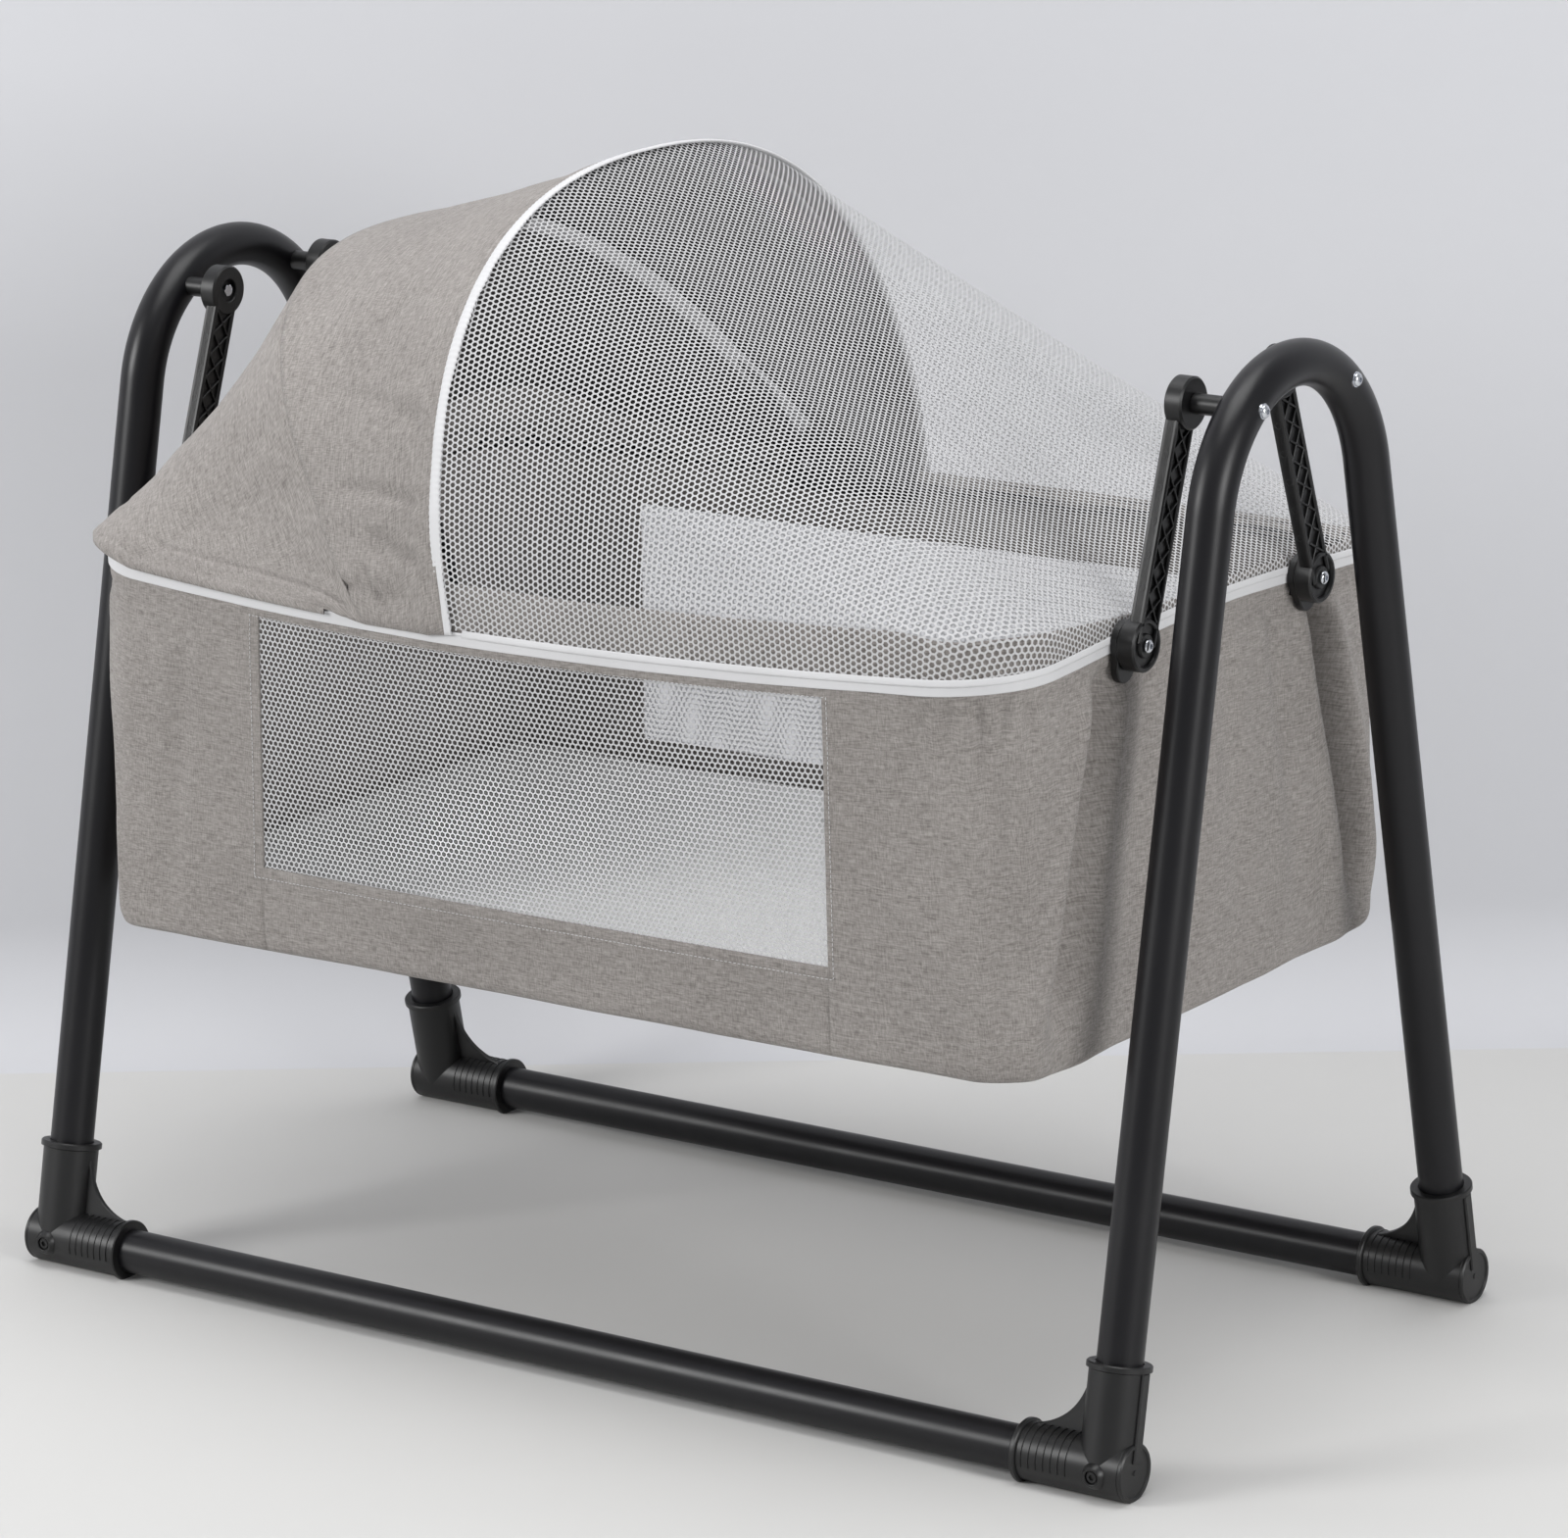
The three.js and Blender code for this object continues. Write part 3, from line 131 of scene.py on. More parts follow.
class CribBasketSizes(bpy.types.PropertyGroup):
    rim_length: length("Rim length", 0.932, "Length of the basket at its rim")
    rim_width: length("Rim width", 0.696, "Width of the basket at the middle of its rim")
    side_bow: length("Side bow", 0.043, "How far the rim's sides draw in towards the ends")
    rim_height: length("Rim height", 0.63999, "Height of the rim in the middle of a side")
    corner_rise: length("Corner rise", 0.009, "Rise of the rim towards its corners")
    end_crown: length("End crown", 0.011, "Further rise in the middle of each end")
    head_radius: length("Head corner", 0.090, "Corner radius of the rim at the head end")
    foot_radius: length("Foot corner", 0.085, "Corner radius of the rim at the foot end")
    bottom_width: length("Bottom width", 0.586, "Width of the flat bottom")
    bottom_head: length("Bottom head", 0.461, "Reach of the bottom at the head end")
    bottom_foot: length("Bottom foot", 0.472, "Reach of the bottom at the foot end")
    bottom_head_radius: length("Bottom head corner", 0.028, "Corner radius there")
    bottom_foot_radius: length("Bottom foot corner", 0.060, "Corner radius there")
    depth: length("Depth", 0.318, "Depth of the basket below the rim")
    cloth: length("Cloth thickness", 0.002, "Thickness of the basket's cloth")
    band_height: length("Zip band", 0.011, "Height of the white zip band")
    collar: length("Collar", 0.036, "Height of the cloth that stands over the rim on the near side")
    net_pitch: length("Net pitch", 0.0053, "Distance between the holes of the nets")
    net_hole: FloatProperty(
        name="Net hole", description="Share of a cell of net that is open", default=0.50, min=0.1, max=0.9
    )


class CribHoodSizes(bpy.types.PropertyGroup):
    front_x: length("Front bow pivot", -0.058, "Where the front bow turns, along X", -1, 1)
    front_tilt: FloatProperty(
        name="Front tilt", description="Lean of the front bow", default=math.radians(97.4), subtype="ANGLE"
    )
    front_height: length("Front height", 0.320, "Height of the front bow along its plane")
    front_half: length("Front half width", 0.341, "Half the width of the front bow")
    rear_x: length("Rear bow pivot", -0.132, "Where the rear bow is held, along X", -1, 1)
    rear_tilt: FloatProperty(
        name="Rear tilt", description="Lean of the rear bow", default=math.radians(129.4), subtype="ANGLE"
    )
    rear_height: length("Rear height", 0.319, "Height of the rear bow along its plane")
    rear_half: length("Rear half width", 0.318, "Half the width of the rear bow")
    cloth: length("Cloth thickness", 0.0016, "Thickness of the hood's cloth")


class CribColours(bpy.types.PropertyGroup):
    powder: colour("Powder coat", (0.0056, 0.0054, 0.0068), "Black powder coat of the tubes")
    plastic: colour("Plastic", (0.0042, 0.0042, 0.0045), "Black moulded plastic")
    zinc: colour("Zinc", (0.66, 0.68, 0.72), "Bright zinc on bolts")
    cloth_light: colour("Cloth, light thread", (0.370, 0.346, 0.327), "Light threads of the cloth")
    cloth_dark: colour("Cloth, dark thread", (0.168, 0.153, 0.143), "Dark threads of the cloth")
    white: colour("White", (0.90, 0.90, 0.90), "Mattress cover")
    tape: colour("Tape", (0.64, 0.64, 0.65), "Zip band and tapes")
    net: colour("Net", (0.73, 0.73, 0.74), "Knitted net of the windows and the cover")
    # Painted shade: a near-black colour for the inner skin of the hood's cloth, standing in for the shade
    # inside the hood
    painted_inside_shade: colour("Painted_inside_shade", (0.062, 0.058, 0.056), "Inside of the hood's cloth")
    board: colour("Board", (0.40, 0.29, 0.18), "Fibreboard under the mattress")
    floor: colour("Floor", (0.61, 0.606, 0.594), "Studio floor")
    wall: colour("Wall", (0.60, 0.605, 0.63), "Studio wall")


def vertex_field(u, v, seed, size_u, size_v, around=None):
    """Smooth random field from -1 to 1 over a cloth; around closes it after that many cells."""
    rng = np.random.default_rng(seed)
    count, rows = around or 97, 89
    table = rng.uniform(-1, 1, (count, rows))
    a, b = np.asarray(u) / size_u, np.asarray(v) / size_v
    i, j = np.floor(a).astype(int), np.floor(b).astype(int)
    fu, fv = a - i, b - j
    fu, fv = fu * fu * (3 - 2 * fu), fv * fv * (3 - 2 * fv)

    def between(row):
        return table[i % count, row % rows] * (1 - fu) + table[(i + 1) % count, row % rows] * fu

    return between(j) * (1 - fv) + between(j + 1) * fv


def smooth(x, low, high):
    t = np.clip((np.asarray(x, float) - low) / (high - low), 0, 1)
    return t * t * (3 - 2 * t)


def dent(a, b, start, end, width):
    """A line pressed into a cloth, from 1 on a segment between two places to 0 away from it."""
    start, end = np.array(start), np.array(end)
    reach = end - start
    along = np.clip(((a - start[0]) * reach[0] + (b - start[1]) * reach[1]) / (reach @ reach), 0, 1)
    away = np.hypot(a - start[0] - along * reach[0], b - start[1] - along * reach[1])
    return np.exp(-((away / width) ** 2)) * (1 - 0.6 * along)


def mesh_object(name, points, faces, uv=None, sharp=38.0, recalc=True):
    """A mesh object at the origin, smooth but for edges sharper than an angle."""
    mesh = bpy.data.meshes.new(name)
    mesh.from_pydata(np.asarray(points, float).tolist(), [], [list(map(int, f)) for f in faces])
    obj = bpy.data.objects.new(name, mesh)
    bpy.context.scene.collection.objects.link(obj)
    if recalc:
        work = bmesh.new()
        work.from_mesh(mesh)
        bmesh.ops.recalc_face_normals(work, faces=work.faces)
        work.to_mesh(mesh)
        work.free()
    mesh.polygons.foreach_set("use_smooth", np.ones(len(mesh.polygons), bool))
    if sharp:
        mesh.set_sharp_from_angle(angle=math.radians(sharp))
    if uv is not None:
        layer = mesh.uv_layers.new(name="cut")
        index = np.zeros(len(mesh.loops), int)
        mesh.loops.foreach_get("vertex_index", index)
        layer.data.foreach_set("uv", np.asarray(uv, float)[index].ravel())
    mesh.update()
    return obj


def grid_faces(rows, columns, wrap=False, keep=None):
    """Quads of a grid of points, rows by columns; keep says which of them are made."""
    r = np.arange(rows - 1)[:, None]
    c = np.arange(columns if wrap else columns - 1)[None, :]
    n = (c + 1) % columns
    quads = np.stack([r * columns + c, r * columns + n, (r + 1) * columns + n, (r + 1) * columns + c], -1)
    if keep is not None:
        return quads[keep]
    return quads.reshape(-1, 4)


def grid_normals(points, wrap=False):
    """Unit normals of a grid of points, the cross of its column and row directions."""
    along_rows = np.gradient(points, axis=0)
    if wrap:
        along_columns = (np.roll(points, -1, 1) - np.roll(points, 1, 1)) / 2
    else:
        along_columns = np.gradient(points, axis=1)
    normals = np.cross(along_columns, along_rows)
    return normals / np.maximum(np.linalg.norm(normals, axis=-1, keepdims=True), 1e-12)


def cloth_object(name, points, thickness, uv, outward):
    """A cloth of two skins, closed round its edge; outward is a point-wise guess of its outside."""
    rows, columns = points.shape[:2]
    normals = grid_normals(points)
    if np.sum(normals * outward) < 0:
        normals = -normals
    skins = np.concatenate([points.reshape(-1, 3), (points - normals * thickness).reshape(-1, 3)])
    count = rows * columns
    outer = grid_faces(rows, columns)
    inner = outer[:, ::-1] + count
    index = np.arange(count).reshape(rows, columns)
    loop = np.concatenate([index[0, :-1], index[:-1, -1], index[-1, :0:-1], index[:0:-1, 0]])
    following = np.roll(loop, -1)
    rim = np.stack([following, loop, loop + count, following + count], -1)
    flat = np.concatenate([uv.reshape(-1, 2), uv.reshape(-1, 2)])
    return mesh_object(name, skins, np.concatenate([outer, inner, rim]), flat, sharp=None)


def paint_inside_shade(obj, material):
    """Gives the inner skin of a cloth of two skins its own material, a painted shade for the inside of the
    hood.
    """
    mesh = obj.data
    mesh.materials.append(material)
    half = len(mesh.vertices) // 2
    for face in mesh.polygons:
        face.material_index = int(min(face.vertices) >= half)


def arc_lengths(points, axis):
    """Running length along one axis of a grid of points."""
    step = np.linalg.norm(np.diff(points, axis=axis), axis=-1)
    first = np.zeros_like(np.take(step, [0], axis=axis))
    return np.concatenate([first, np.cumsum(step, axis=axis)], axis=axis)


def flat_uv(points):
    """Cut coordinates in metres: lengths along columns and rows, measured from the middle."""
    along = arc_lengths(points, 1)
    down = arc_lengths(points, 0)
    middle = along[:, along.shape[1] // 2][:, None]
    return np.stack([along - middle, down], -1)


class Solid:
    """Gathers closed shapes, each a list of rings or a prism, into one mesh."""

    def __init__(self):
        self.points, self.faces, self.count = [], [], 0

    def loft(self, rings, closed=False):
        rings = np.asarray(rings, float)
        levels, sides = rings.shape[:2]
        if closed:
            rings = np.concatenate([rings, rings[:1]])
            levels += 1
        faces = grid_faces(levels, sides, wrap=True)
        if closed:
            faces = np.where(faces >= (levels - 1) * sides, faces - (levels - 1) * sides, faces)
            rings, levels = rings[:-1], levels - 1
        self.points.append(rings.reshape(-1, 3))
        self.faces += [tuple(f) for f in faces + self.count]
        if not closed:
            self.faces.append(tuple(range(self.count, self.count + sides)))
            last = self.count + (levels - 1) * sides
            self.faces.append(tuple(range(last + sides - 1, last - 1, -1)))
        self.count += levels * sides
        return self

    def lathe(self, origin, axis, profile, sides=64, flats=None):
        """Rings of (distance, radius) on an axis; flats gives a ring by its index six sides."""
        axis = np.asarray(axis, float) / np.linalg.norm(axis)
        across = np.cross(axis, (0, 0, 1.0) if abs(axis[2]) < 0.9 else (1.0, 0, 0))
        across /= np.linalg.norm(across)
        other = np.cross(axis, across)
        turn = np.arange(sides) * 2 * math.pi / sides
        rings = []
        for k, (distance, radius) in enumerate(profile):
            ring = np.full(sides, float(radius))
            if flats and k in flats:
                part = np.mod(turn, math.pi / 3) - math.pi / 6
                ring = radius * math.cos(math.pi / 6) / np.cos(part)
            rings.append(
                np.asarray(origin)
                + axis * distance
                + ring[:, None] * (np.cos(turn)[:, None] * across + np.sin(turn)[:, None] * other)
            )
        return self.loft(rings)

    def prism(self, outline, origin, a, b, thickness, edge):
        """A plate with a 2D outline in the directions a and b, centred on its thickness."""
        outline = np.asarray(outline, float)
        before, after = np.roll(outline, 1, 0), np.roll(outline, -1, 0)
        area = np.sum(outline[:, 0] * after[:, 1] - after[:, 0] * outline[:, 1])
        one, two = outline - before, after - outline
        one /= np.linalg.norm(one, axis=1, keepdims=True)
        two /= np.linalg.norm(two, axis=1, keepdims=True)
        inward = np.stack([-(one + two)[:, 1], (one + two)[:, 0]], -1) * (1 if area > 0 else -1)
        inward /= np.maximum(np.sum(inward**2, 1, keepdims=True), 0.4) / 2
        a, b = np.asarray(a, float), np.asarray(b, float)
        normal = np.cross(a, b)
        rings = []
        for height, inset in ((-0.5, 1), (-0.5, 0), (0.5, 0), (0.5, 1)):
            flat = outline + inward * edge * inset
            lift = height * thickness - math.copysign(edge * (1 - inset), height)
            rings.append(np.asarray(origin) + flat[:, :1] * a + flat[:, 1:] * b + normal * lift)
        return self.loft(rings)

    def box(self, low, high, edge):
        low, high = np.minimum(low, high), np.maximum(low, high)
        middle, half = (np.asarray(low) + high) / 2, (np.asarray(high) - low) / 2
        corners = [(a * half[0], b * half[1]) for a, b in ((-1, -1), (1, -1), (1, 1), (-1, 1))]
        return self.prism(corners, middle, (1, 0, 0), (0, 1, 0), 2 * half[2], edge)

    def build(self, name, sign=(1, 1, 1), sharp=38.0):
        return mesh_object(name, np.concatenate(self.points) * sign, self.faces, sharp=sharp)


def path_object(name, points):
    """A line of edges, for the node trees that follow a path."""
    mesh = bpy.data.meshes.new(name)
    edges = [(i, i + 1) for i in range(len(points) - 1)]
    mesh.from_pydata(np.asarray(points, float).tolist(), edges, [])
    obj = bpy.data.objects.new(name, mesh)
    bpy.context.scene.collection.objects.link(obj)
    return obj


class Nodes:
    """Adds nodes to a tree; each input is given a value or the socket that feeds it."""

    def __init__(self, tree):
        self.tree = tree

    def add(self, kind, inputs=None, **settings):
        node = self.tree.nodes.new(kind)
        for key, setting in settings.items():
            setattr(node, key, setting)
        for key, given in (inputs or {}).items():
            if isinstance(given, bpy.types.NodeSocket):
                self.tree.links.new(given, node.inputs[key])
            else:
                node.inputs[key].default_value = given
        return node

    def out(self, kind, inputs=None, **settings):
        return self.add(kind, inputs, **settings).outputs[0]

    def math(self, operation, a, b=0.0, kind="ShaderNodeMath"):
        return self.out(kind, {0: a, 1: b}, operation=operation)


class Tree(Nodes):
    """Builds a geometry node tree with named inputs."""

    def __init__(self, name):
        super().__init__(bpy.data.node_groups.new(name, "GeometryNodeTree"))
        self.tree.is_modifier = True
        for way in ("INPUT", "OUTPUT"):
            self.tree.interface.new_socket("Geometry", in_out=way, socket_type="NodeSocketGeometry")
        self.source = self.tree.nodes.new("NodeGroupInput")
        self.sink = self.tree.nodes.new("NodeGroupOutput")
        self.given = self.source.outputs["Geometry"]

    def value(self, name, kind, default=None):
        item = self.tree.interface.new_socket(name, in_out="INPUT", socket_type="NodeSocket" + kind)
        if default is not None:
            item.default_value = default
        return self.source.outputs[name]

    def finish(self, geometry, smooth=True):
        material = self.value("Material", "Material")
        if smooth:
            geometry = self.out("GeometryNodeSetShadeSmooth", {0: geometry})
        whole = self.out("GeometryNodeRealizeInstances", {"Geometry": geometry})
        coated = self.out("GeometryNodeSetMaterial", {"Geometry": whole, "Material": material})
        self.tree.links.new(coated, self.sink.inputs[0])
        return self.tree


def group_named(name, build):
    """A node group, built the first time that it is asked for."""
    return bpy.data.node_groups.get(name) or build(name)


def tube_tree(name):
    """A round tube along a line of edges, with flat ends, for frames, rails and bows."""
    tree = Tree(name)
    radius = tree.value("Radius", "Float", 0.01)
    sides = tree.value("Sides", "Int", 32)
    curve = tree.out("GeometryNodeMeshToCurve", {0: tree.given})
    circle = tree.out("GeometryNodeCurvePrimitiveCircle", {"Resolution": sides, "Radius": radius})
    parts = {"Curve": curve, "Profile Curve": circle, "Fill Caps": True}
    return tree.finish(tree.out("GeometryNodeCurveToMesh", parts))


def repeat_tree(name):
    """Copies of the object's own mesh, set in a row."""
    tree = Tree(name)
    row = {
        "Count": tree.value("Count", "Int", 4),
        "Start Location": tree.value("Start", "Vector", (0, 0, 0)),
        "Offset": tree.value("Step", "Vector", (0, 0, 0)),
    }
    line = tree.out("GeometryNodeMeshLine", row, mode="OFFSET")
    copies = tree.out("GeometryNodeInstanceOnPoints", {"Points": line, "Instance": tree.given})
    return tree.finish(copies, smooth=False)


def stitch_tree(name):
    """Stitches of thread along a line of edges."""
    tree = Tree(name)
    pitch = tree.value("Pitch", "Float", 0.004)
    reach = tree.value("Stitch", "Float", 0.0028)
    thread = tree.value("Thread", "Float", 0.0005)
    curve = tree.out("GeometryNodeMeshToCurve", {0: tree.given})
    points = tree.add("GeometryNodeCurveToPoints", {"Curve": curve, "Length": pitch}, mode="LENGTH")
    stitch = {
        "Points": points.outputs["Points"],
        "Instance": tree.out("GeometryNodeMeshUVSphere", {"Segments": 8, "Rings": 6, "Radius": 0.5}),
        "Rotation": points.outputs["Rotation"],
        "Scale": tree.out("ShaderNodeCombineXYZ", {"X": thread, "Y": thread, "Z": reach}),
    }
    copies = tree.out("GeometryNodeInstanceOnPoints", stitch)
    return tree.finish(tree.out("GeometryNodeRealizeInstances", {"Geometry": copies}))


def net_tree(name):
    """Knitted net with staggered holes over a surface whose map "cut" holds its flat shape."""
    tree = Tree(name)
    low = tree.value("Low", "Vector", (0, 0, 0))
    span_u = tree.value("Span U", "Float", 0.5)
    span_v = tree.value("Span V", "Float", 0.3)
    columns = tree.value("Columns", "Int", 100)
    rows = tree.value("Rows", "Int", 60)
    pitch = tree.value("Pitch", "Float", 0.0053)
    hole = tree.value("Hole", "Float", 0.62)

    # A flat grid of points whose odd rows move half a pitch, and a cell round each point
    grid = {"Size X": span_u, "Size Y": span_v, "Vertices X": columns, "Vertices Y": rows}
    sheet = tree.out("GeometryNodeMeshGrid", grid)
    whole_number = "FunctionNodeIntegerMath"
    row = tree.math("MODULO", tree.out("GeometryNodeInputIndex"), rows, whole_number)
    odd = tree.math("MODULO", row, 2, whole_number)
    shift = tree.math("MULTIPLY", tree.math("MULTIPLY", pitch, 0.5), odd)
    across = tree.out("ShaderNodeCombineXYZ", {"X": shift})
    staggered = tree.out("GeometryNodeSetPosition", {"Geometry": sheet, "Offset": across})
    thirds = tree.out("GeometryNodeTriangulate", {"Mesh": staggered})
    cells = tree.out("GeometryNodeDualMesh", {"Mesh": thirds})

    # A hole in each cell
    raised = tree.add(
        "GeometryNodeExtrudeMesh", {"Mesh": cells, "Offset Scale": 0.0, "Individual": True}, mode="FACES"
    )
    top = {"Geometry": raised.outputs["Mesh"], "Selection": raised.outputs["Top"], "Scale": hole}
    drawn_in = tree.out("GeometryNodeScaleElements", top)
    opened = tree.out(
        "GeometryNodeDeleteGeometry",
        {"Geometry": drawn_in, "Selection": raised.outputs["Top"]},
        domain="FACE",
    )

    # Each point laid on the surface where its map has the same place, and dropped where it has none
    middle = tree.out("ShaderNodeCombineXYZ", {"X": span_u, "Y": span_v})
    vectors = "ShaderNodeVectorMath"
    halved = tree.math("MULTIPLY", middle, (0.5, 0.5, 0.5), vectors)
    moved = tree.math("ADD", tree.out("GeometryNodeInputPosition"), halved, vectors)
    spot = {
        "Mesh": tree.given,
        "Value": tree.out("GeometryNodeInputPosition"),
        "Source UV Map": tree.out(
            "GeometryNodeInputNamedAttribute", {"Name": "cut"}, data_type="FLOAT_VECTOR"
        ),
        "Sample UV": tree.math("ADD", moved, low, vectors),
    }
    sample = tree.add("GeometryNodeSampleUVSurface", spot, data_type="FLOAT_VECTOR")
    valid = {"Geometry": opened, "Name": "inside", "Value": sample.outputs["Is Valid"]}
    stored = tree.out("GeometryNodeStoreNamedAttribute", valid, data_type="BOOLEAN", domain="POINT")
    laid = tree.out(
        "GeometryNodeSetPosition", {"Geometry": stored, "Position": sample.outputs["Value"]}
    )
    inside = tree.out("GeometryNodeInputNamedAttribute", {"Name": "inside"}, data_type="BOOLEAN")
    outside = tree.out("FunctionNodeBooleanMath", {0: inside}, operation="NOT")
    trimmed = tree.out("GeometryNodeDeleteGeometry", {"Geometry": laid, "Selection": outside})
    joined = tree.out("GeometryNodeMergeByDistance", {"Geometry": trimmed, "Distance": 0.00002})
    return tree.finish(joined)


def grow(obj, name, build, values):
    """Runs a node tree on an object and keeps the mesh that it makes."""
    group = group_named(name, build)
    modifier = obj.modifiers.new(name, "NODES")
    modifier.node_group = group
    for item in group.interface.items_tree:
        if item.item_type == "SOCKET" and item.in_out == "INPUT" and item.name in values:
            modifier[item.identifier] = values[item.name]
    bpy.context.view_layer.update()
    depsgraph = bpy.context.evaluated_depsgraph_get()
    made = bpy.data.meshes.new_from_object(obj.evaluated_get(depsgraph), depsgraph=depsgraph)
    obj.modifiers.remove(modifier)
    obj.data = made
    made.name = obj.name
    if not len(made.polygons):
        raise RuntimeError(f"{obj.name}: the node tree {name} made no faces")
    return obj


def tube(name, points, radius, sides):
    values = {"Radius": radius, "Sides": sides, "Material": material_for("powder_coated_steel")}
    return grow(path_object(name, points), "Tube on a path", tube_tree, values)


def repeat(obj, count, start, step):
    values = {"Count": count, "Start": tuple(start), "Step": tuple(step)}
    values["Material"] = material_for("black_plastic")
    return grow(obj, "Copies in a row", repeat_tree, values)


def stitches(name, points, pitch=0.0042, reach=0.003, thread=0.0006):
    values = {"Pitch": pitch, "Stitch": reach, "Thread": thread, "Material": material_for("white_tape")}
    return grow(path_object(name, points), "Stitches on a path", stitch_tree, values)


def netting(obj, basket, half=None):
    """Turns a surface with a cut map into knitted net; half 0 or 1 keeps that share of its rows."""
    pitch = basket.net_pitch
    layer = obj.data.uv_layers["cut"]
    uv = np.zeros(len(obj.data.loops) * 2)
    layer.data.foreach_get("uv", uv)
    low, high = uv.reshape(-1, 2).min(0), uv.reshape(-1, 2).max(0)
    row_pitch = pitch * math.sqrt(3) / 2
    columns, rows = int((high[0] - low[0]) / pitch) + 4, int((high[1] - low[1]) / row_pitch) + 4
    first, split = 0, rows // 4 * 2
    if half == 0:
        rows = split + 2
    elif half == 1:
        first, rows = split, rows - split
    values = {
        "Low": (low[0] - pitch, low[1] + (first - 1) * row_pitch, 0.0),
        "Span U": (columns - 1) * pitch,
        "Span V": (rows - 1) * row_pitch,
        "Columns": columns,
        "Rows": rows,
        "Pitch": pitch,
        "Hole": math.sqrt(basket.net_hole),
        "Material": material_for("white_net"),
    }
    grow(obj, "Knitted net", net_tree, values)
    return (columns - 3) * pitch, (rows - 3) * row_pitch


def finish_piece(obj, body, slot, nodes=(), look=None):
    """Gives a piece its material, made from its slot unless a look is given, the body it moves with, and
    hides the CAD nodes it stands for.
    """
    obj.data.materials.clear()
    obj.data.materials.append(material_for(look or slot))
    if body:
        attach(obj, body)
    if nodes:
        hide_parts(*nodes)
    return obj


def beside(places, out, up):
    """Points out along the normals of a line of rim places, and up from them."""
    x, y, nx, ny, z = places.T
    return np.stack([x + nx * out, y + ny * out, z + up], -1)


class Shape:
    """Places and outlines worked out from the sizes in the panel, shared by the pieces."""

    END, CORNER = 40, 38
    LONG = (18, 1, 1, 84, 1, 1, 30)

    def __init__(self, scene):
        self.st, self.ar = scene.crib_stand, scene.crib_arms
        self.ba, self.ho = scene.crib_basket, scene.crib_hood
        self.tint = scene.crib_colours
        st, ba = self.st, self.ba
        self.frame_x, self.rail_y = st.frame_span / 2, st.rail_spread / 2
        rise = st.arch_height - st.rail_height
        self.lean = math.acos(st.arch_radius / math.hypot(self.rail_y, rise)) - math.atan2(
            rise, self.rail_y
        )
        self.leg = np.array([0, -math.sin(self.lean), math.cos(self.lean)])
        self.leg_normal = np.array([0, math.cos(self.lean), math.sin(self.lean)])
        self.leg_foot = np.array([self.frame_x, self.rail_y, st.rail_height])
        self.half_x, self.half_y = ba.rim_length / 2, ba.rim_width / 2
        self.bottom_z = ba.rim_height - ba.depth
        self.bottom_edge = 30 * mm
        self.foot_z = self.bottom_z + self.bottom_edge
        self.rim_tube = 8 * mm
        self.roll = 8 * mm
        self.bow_drop = 12 * mm
        self.bow_z = ba.rim_height + self.bow_drop
        self.skirt_out = 4.4 * mm
        self.over = 8 * mm

    def rim_z(self, x, y):
        """Height of the rim line, which rises to the corners and crowns in the middle of an end."""
        end_half = self.half_y - self.ba.side_bow
        crown = np.maximum(1 - (y / end_half) ** 2, 0) ** 2
        rise = self.ba.corner_rise + self.ba.end_crown * crown
        return self.ba.rim_height + rise * (x / self.half_x) ** 2

    def collar(self, x, y):
        """How far the cloth stands over the rim: a collar on the near side, a low roll elsewhere."""
        near = smooth(-y, 0.06, 0.30) * smooth(x, -0.13, -0.05) * (1 - 0.35 * smooth(x, 0.36, 0.45))
        return self.roll + self.ba.collar * near + 5 * mm * smooth(x, 0.40, 0.45)

    def rim_half(self, x):
        """Half-width of the rim at an x, without its corner rounding."""
        return self.half_y - self.ba.side_bow * (x / self.half_x) ** 2

    def outline(self, head, foot, half_y, bow, head_radius, foot_radius, near_x, far_x):
        """A rounded outline from the middle of the head end, along the near side and back."""

        def corner(end, reach, radius):
            slope = math.atan(2 * bow * (reach - radius) / self.half_x**2)
            joint = reach - radius * (1 - math.sin(slope))
            centre = half_y - bow * (joint / self.half_x) ** 2 - radius * math.cos(slope)
            turn = slope + (math.pi / 2 - slope) * np.linspace(0, 1, self.CORNER + 1)
            return np.stack(
                [
                    end * (reach - radius + radius * np.sin(turn)),
                    centre + radius * np.cos(turn),
                    end * np.sin(turn),
                    np.cos(turn),
                ],
                -1,
            )

        def end_line(end, reach, y):
            return np.stack([np.full_like(y, end * reach), y, np.full_like(y, end), 0 * y], -1)

        def side(head_arc, foot_arc, xs):
            steps = np.linspace(0, 1, self.END + 1)[:-1]
            slope = np.arctan(2 * bow * xs / self.half_x**2)
            long = np.stack(
                [xs, half_y - bow * (xs / self.half_x) ** 2, np.sin(slope), np.cos(slope)], -1
            )
            return np.concatenate(
                [
                    end_line(-1, head, head_arc[0, 1] * steps),
                    head_arc,
                    long[1:-1],
                    foot_arc,
                    end_line(1, foot, foot_arc[-1, 1] * (1 - steps[1:])),
                    end_line(1, foot, np.zeros(1)),
                ]
            )

        head_arc = corner(-1, head, head_radius)[::-1]
        foot_arc = corner(1, foot, foot_radius)
        near = side(head_arc, foot_arc, near_x(head_arc[-1, 0], foot_arc[0, 0]))
        far = side(head_arc, foot_arc, far_x(head_arc[-1, 0], foot_arc[0, 0]))
        near = near * (1, -1, 1, -1)
        return np.concatenate([near, far[-2:0:-1]])

    # Windows: x at the head and the foot, their slants, strip above and height of the sill, in mm
    WINDOWS = {"near": (-246, 310, -33, -17, 13, 80), "far": (-328, 250, 16, 16, 53, 56)}

    def window(self, side):
        return [value * mm for value in self.WINDOWS[side]]

    def column_places(self, side, low):
        """A function that spreads the long side's columns, with lines on the window's edges."""
        head, foot, head_slant, foot_slant, strip, sill = self.window(side)

        def edge(x, slant):
            top = float(self.rim_z(x, self.half_y)) - strip
            z = self.foot_z if low else float(self.rim_z(x, self.half_y)) - self.rim_tube
            return x + slant * (top - z) / (top - (self.bottom_z + sill))

